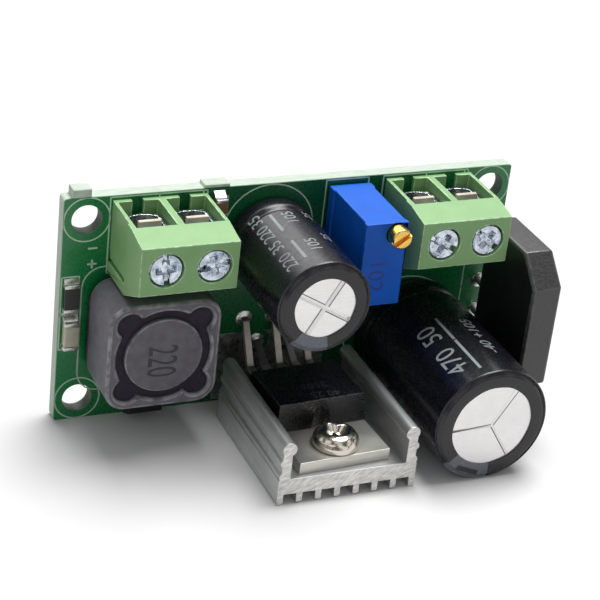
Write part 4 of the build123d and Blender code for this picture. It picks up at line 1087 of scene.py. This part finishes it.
@dataclass
class RegulatorStack(Assembly):
    """Regulator on its extruded heatsink, with its screw."""

    head_h: float = 1.7
    lobes: float = 0.24
    lobe_phase: float = 1.4
    recess_z: float = 0.9
    recess_r: float = 1.25
    figure_h: float = 1.5

    def pan_head(self) -> None:
        """Turn the fixing screw with a domed head and a four-lobed driver recess."""
        bm = spun([
            (0.0, 1.0, 0), (0.5, 1.0, 0.08), (1.12, 1.66, 0.05), (1.45, self.head_h, 0.06), (1.95, 1.5, 0.12),
            (2.32, 1.08, 0.12), (2.5, 0.55, 0.12), (2.46, 0.06, 0.04), (1.5, 0.0, 0), (1.5, -4.0, 0), (0.0, -4.0, 0),
        ], 72)
        for v in bm.verts:
            if v.co.z > self.recess_z and v.co.xy.length < self.recess_r:
                v.co.xy *= 1 + self.lobes * math.cos(4 * math.atan2(v.co.y, v.co.x) - self.lobe_phase)
        low, high = self.corners("heatsink_screw")
        seat = shift((low.x + high.x) / 2, high.y - self.head_h, (low.z + high.z) / 2)
        slot = self.paint.slot_of["heatsink_screw"]
        self.settle("turned_heatsink_screw", bm, FINISHES[slot], slot, frame["nodes"]["heatsink_screw"]["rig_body"],
                    ("heatsink_screw",), TO_FRAME @ seat @ rotation(-90, "X"))

    def build(self) -> None:
        """Build the stack's dress."""
        self.soften("heatsink", 0.09)
        self.soften("regulator_mould", 0.12, finish=FINISHES["polished_mould"])
        self.soften_all(regulator_tab=(0.08, 2), regulator_leads=(0.05, 1))
        self.pan_head()
        low, high = self.corners("regulator_mould")
        on_top = Matrix(((-1, 0, 0, 0), (0, 0, 1, 0), (0, 1, 0, 0), (0, 0, 0, 1)))
        bm = bmesh.new()
        for text, across, back in (("40 25", 0.9, 1.6), ("2503", 0.3, 3.4)):
            place = shift((low.x + high.x) / 2 + across, high.y - 0.005, high.z - back) @ on_top
            merge(bm, lettering(text, self.figure_h, INK_T), place)
        self.settle("mould_figures", bm, FINISHES["faint_ink"], "black_mould")


@dataclass
class SmallParts(Assembly):
    """Bridge, diode, chip parts and leads."""

    def build(self) -> None:
        """Build the small parts' dress."""
        self.soften("bridge_mould", 0.12, finish=FINISHES["bridge_mould"])
        self.soften_all(
            diode_mould=(0.08, 2), diode_leads=(0.03, 1), led_resistor=(0.05, 2), feedback_resistor=(0.05, 2),
            ceramic_capacitor=(0.05, 2), status_led=(0.18, 3), chip_ends=(0.06, 2), chip_solder=(0.03, 1),
            bridge_leads=(0.04, 1), trimmer_leads=(0.04, 1), small_capacitor_leads=(0.04, 1),
            big_capacitor_leads=(0.04, 1),
        )


@dataclass
class Studio:
    """White floor, soft light from above and the camera."""

    floor_z: float = -13.0
    stand: Triple = (-79.142, -168.710, 97.055)
    azimuth: float = 25.3126
    elevation: float = 27.7239
    roll: float = 6.5064
    lens: float = 116.7462
    shift: Pair = (0.0149167, -0.0035)
    key: float = 3.25
    key_from: Triple = (0.24, 0.20, 1.0)
    key_angle: float = 36.0
    sky: float = 0.36
    floor_size: float = 4.0
    floor_bounce: float = 0.46
    floor_seen: float = 0.80
    window_glow: float = 3.0
    sensor: float = 36.0

    def build(self) -> None:
        """Set up the floor, the light and the camera."""
        self.floor()
        self.world()
        self.sun()
        self.camera()
        bpy.context.scene.view_settings.view_transform = "Standard"

    def floor(self) -> None:
        """Lay a large white floor that keeps the shadow."""
        bm = bmesh.new()
        bmesh.ops.create_grid(bm, x_segments=1, y_segments=1, size=self.floor_size,
                              matrix=shift(0, 0, self.floor_z * MM))
        mesh = baked("floor", bm)
        floor = link("floor", mesh)
        paper = bpy.data.materials.new("white paper")
        net = wiring(paper)
        seen = net.rays("Camera", "Glossy", "Transmission")
        pale = net.blend(seen, rgba((self.floor_bounce,) * 3), rgba((self.floor_seen,) * 3))
        lit = net.add("BsdfDiffuse", {"Color": pale})
        net.add("OutputMaterial", {"Surface": lit.outputs[0]})
        mesh.materials.append(paper)

    def world(self) -> None:
        """Pale surroundings: white where they are seen, soft as light, a patchy room in reflections."""
        world = bpy.data.worlds.new("surroundings")
        bpy.context.scene.world = world
        net = wiring(world)
        way = net.add("TexCoord").outputs["Generated"]
        patches = net.clouds(way, 2.6, 1.0)
        room = net.span(patches, 0.44, 0.56, (0.12, 1.0))
        ahead, aloft = net.span(net.axis(way, "Y"), 0.35, 0.6), net.span(net.axis(way, "Z"), 0.47, 0.56)
        room = net.maths("MULTIPLY_ADD", net.maths("MULTIPLY", ahead, aloft), self.window_glow, room)
        lit = net.blend(net.rays("Glossy"), rgba((self.sky,) * 3), room)
        strength = net.maths("MAXIMUM", net.rays("Camera", "Transmission"), lit)
        glow = net.add("Background", {"Color": (1, 1, 1, 1), "Strength": strength})
        net.add("OutputWorld", {"Surface": glow.outputs[0]})

    def sun(self) -> None:
        """Add the soft, distant key lamp."""
        light = bpy.data.lights.new("key", "SUN")
        light.energy = self.key
        light.angle = math.radians(self.key_angle)
        link("key", light).rotation_euler = Vector(self.key_from).to_track_quat("Z", "Y").to_euler()

    def camera(self) -> None:
        """Stand the camera where the photograph was taken."""
        lens = bpy.data.cameras.new("camera")
        lens.lens, lens.sensor_width = self.lens, self.sensor
        lens.shift_x, lens.shift_y = self.shift
        lens.clip_start, lens.clip_end = 0.01, 20.0
        holder = link("camera", lens)
        turn = rotation(-self.azimuth) @ rotation(90 - self.elevation, "X") @ rotation(self.roll)
        holder.matrix_world = shift(*Vector(self.stand) * MM) @ turn
        bpy.context.scene.camera = holder


def main() -> None:
    """Build the studio and every sub-assembly in order."""
    Studio().build()
    paint = Paintbox()
    paint.dress_frame()
    CircuitBoard(paint).build()
    for side in Side:
        TerminalBlock(paint, side).build()
    Trimmer(paint).build()
    Capacitor(paint, figures=(("220", 2.0, 12.4, 128.0), ("35", 2.0, 9.2, 128.0), ("220", 2.0, 6.3, 128.0),
                              ("35", 2.0, 3.4, 128.0), ("105", 1.8, 11.2, 90.0), ("105", 1.8, 5.0, 90.0),
                              ("25", 1.5, 9.0, 62.0), ("25", 1.5, 4.0, 62.0)),
              bars=((3.4, 11.4, 110.0), (3.4, 5.4, 110.0))).build()
    Capacitor(paint, "big_capacitor", 4.6, stripe_from=-140.0, stripe_to=-86.0,
              figures=(("470", 3.1, 16.6, 120.0), ("50", 3.1, 11.2, 120.0), ("-40 +105", 2.0, 13.4, 77.0)),
              bars=((5.6, 16.6, 104.0), (4.2, 11.2, 104.0)), scores=(58.0, 185.0, 302.0), score_w=0.3,
              sign_l=2.2).build()
    Inductor(paint).build()
    RegulatorStack(paint).build()
    SmallParts(paint).build()


if __name__ == "__main__":
    main()
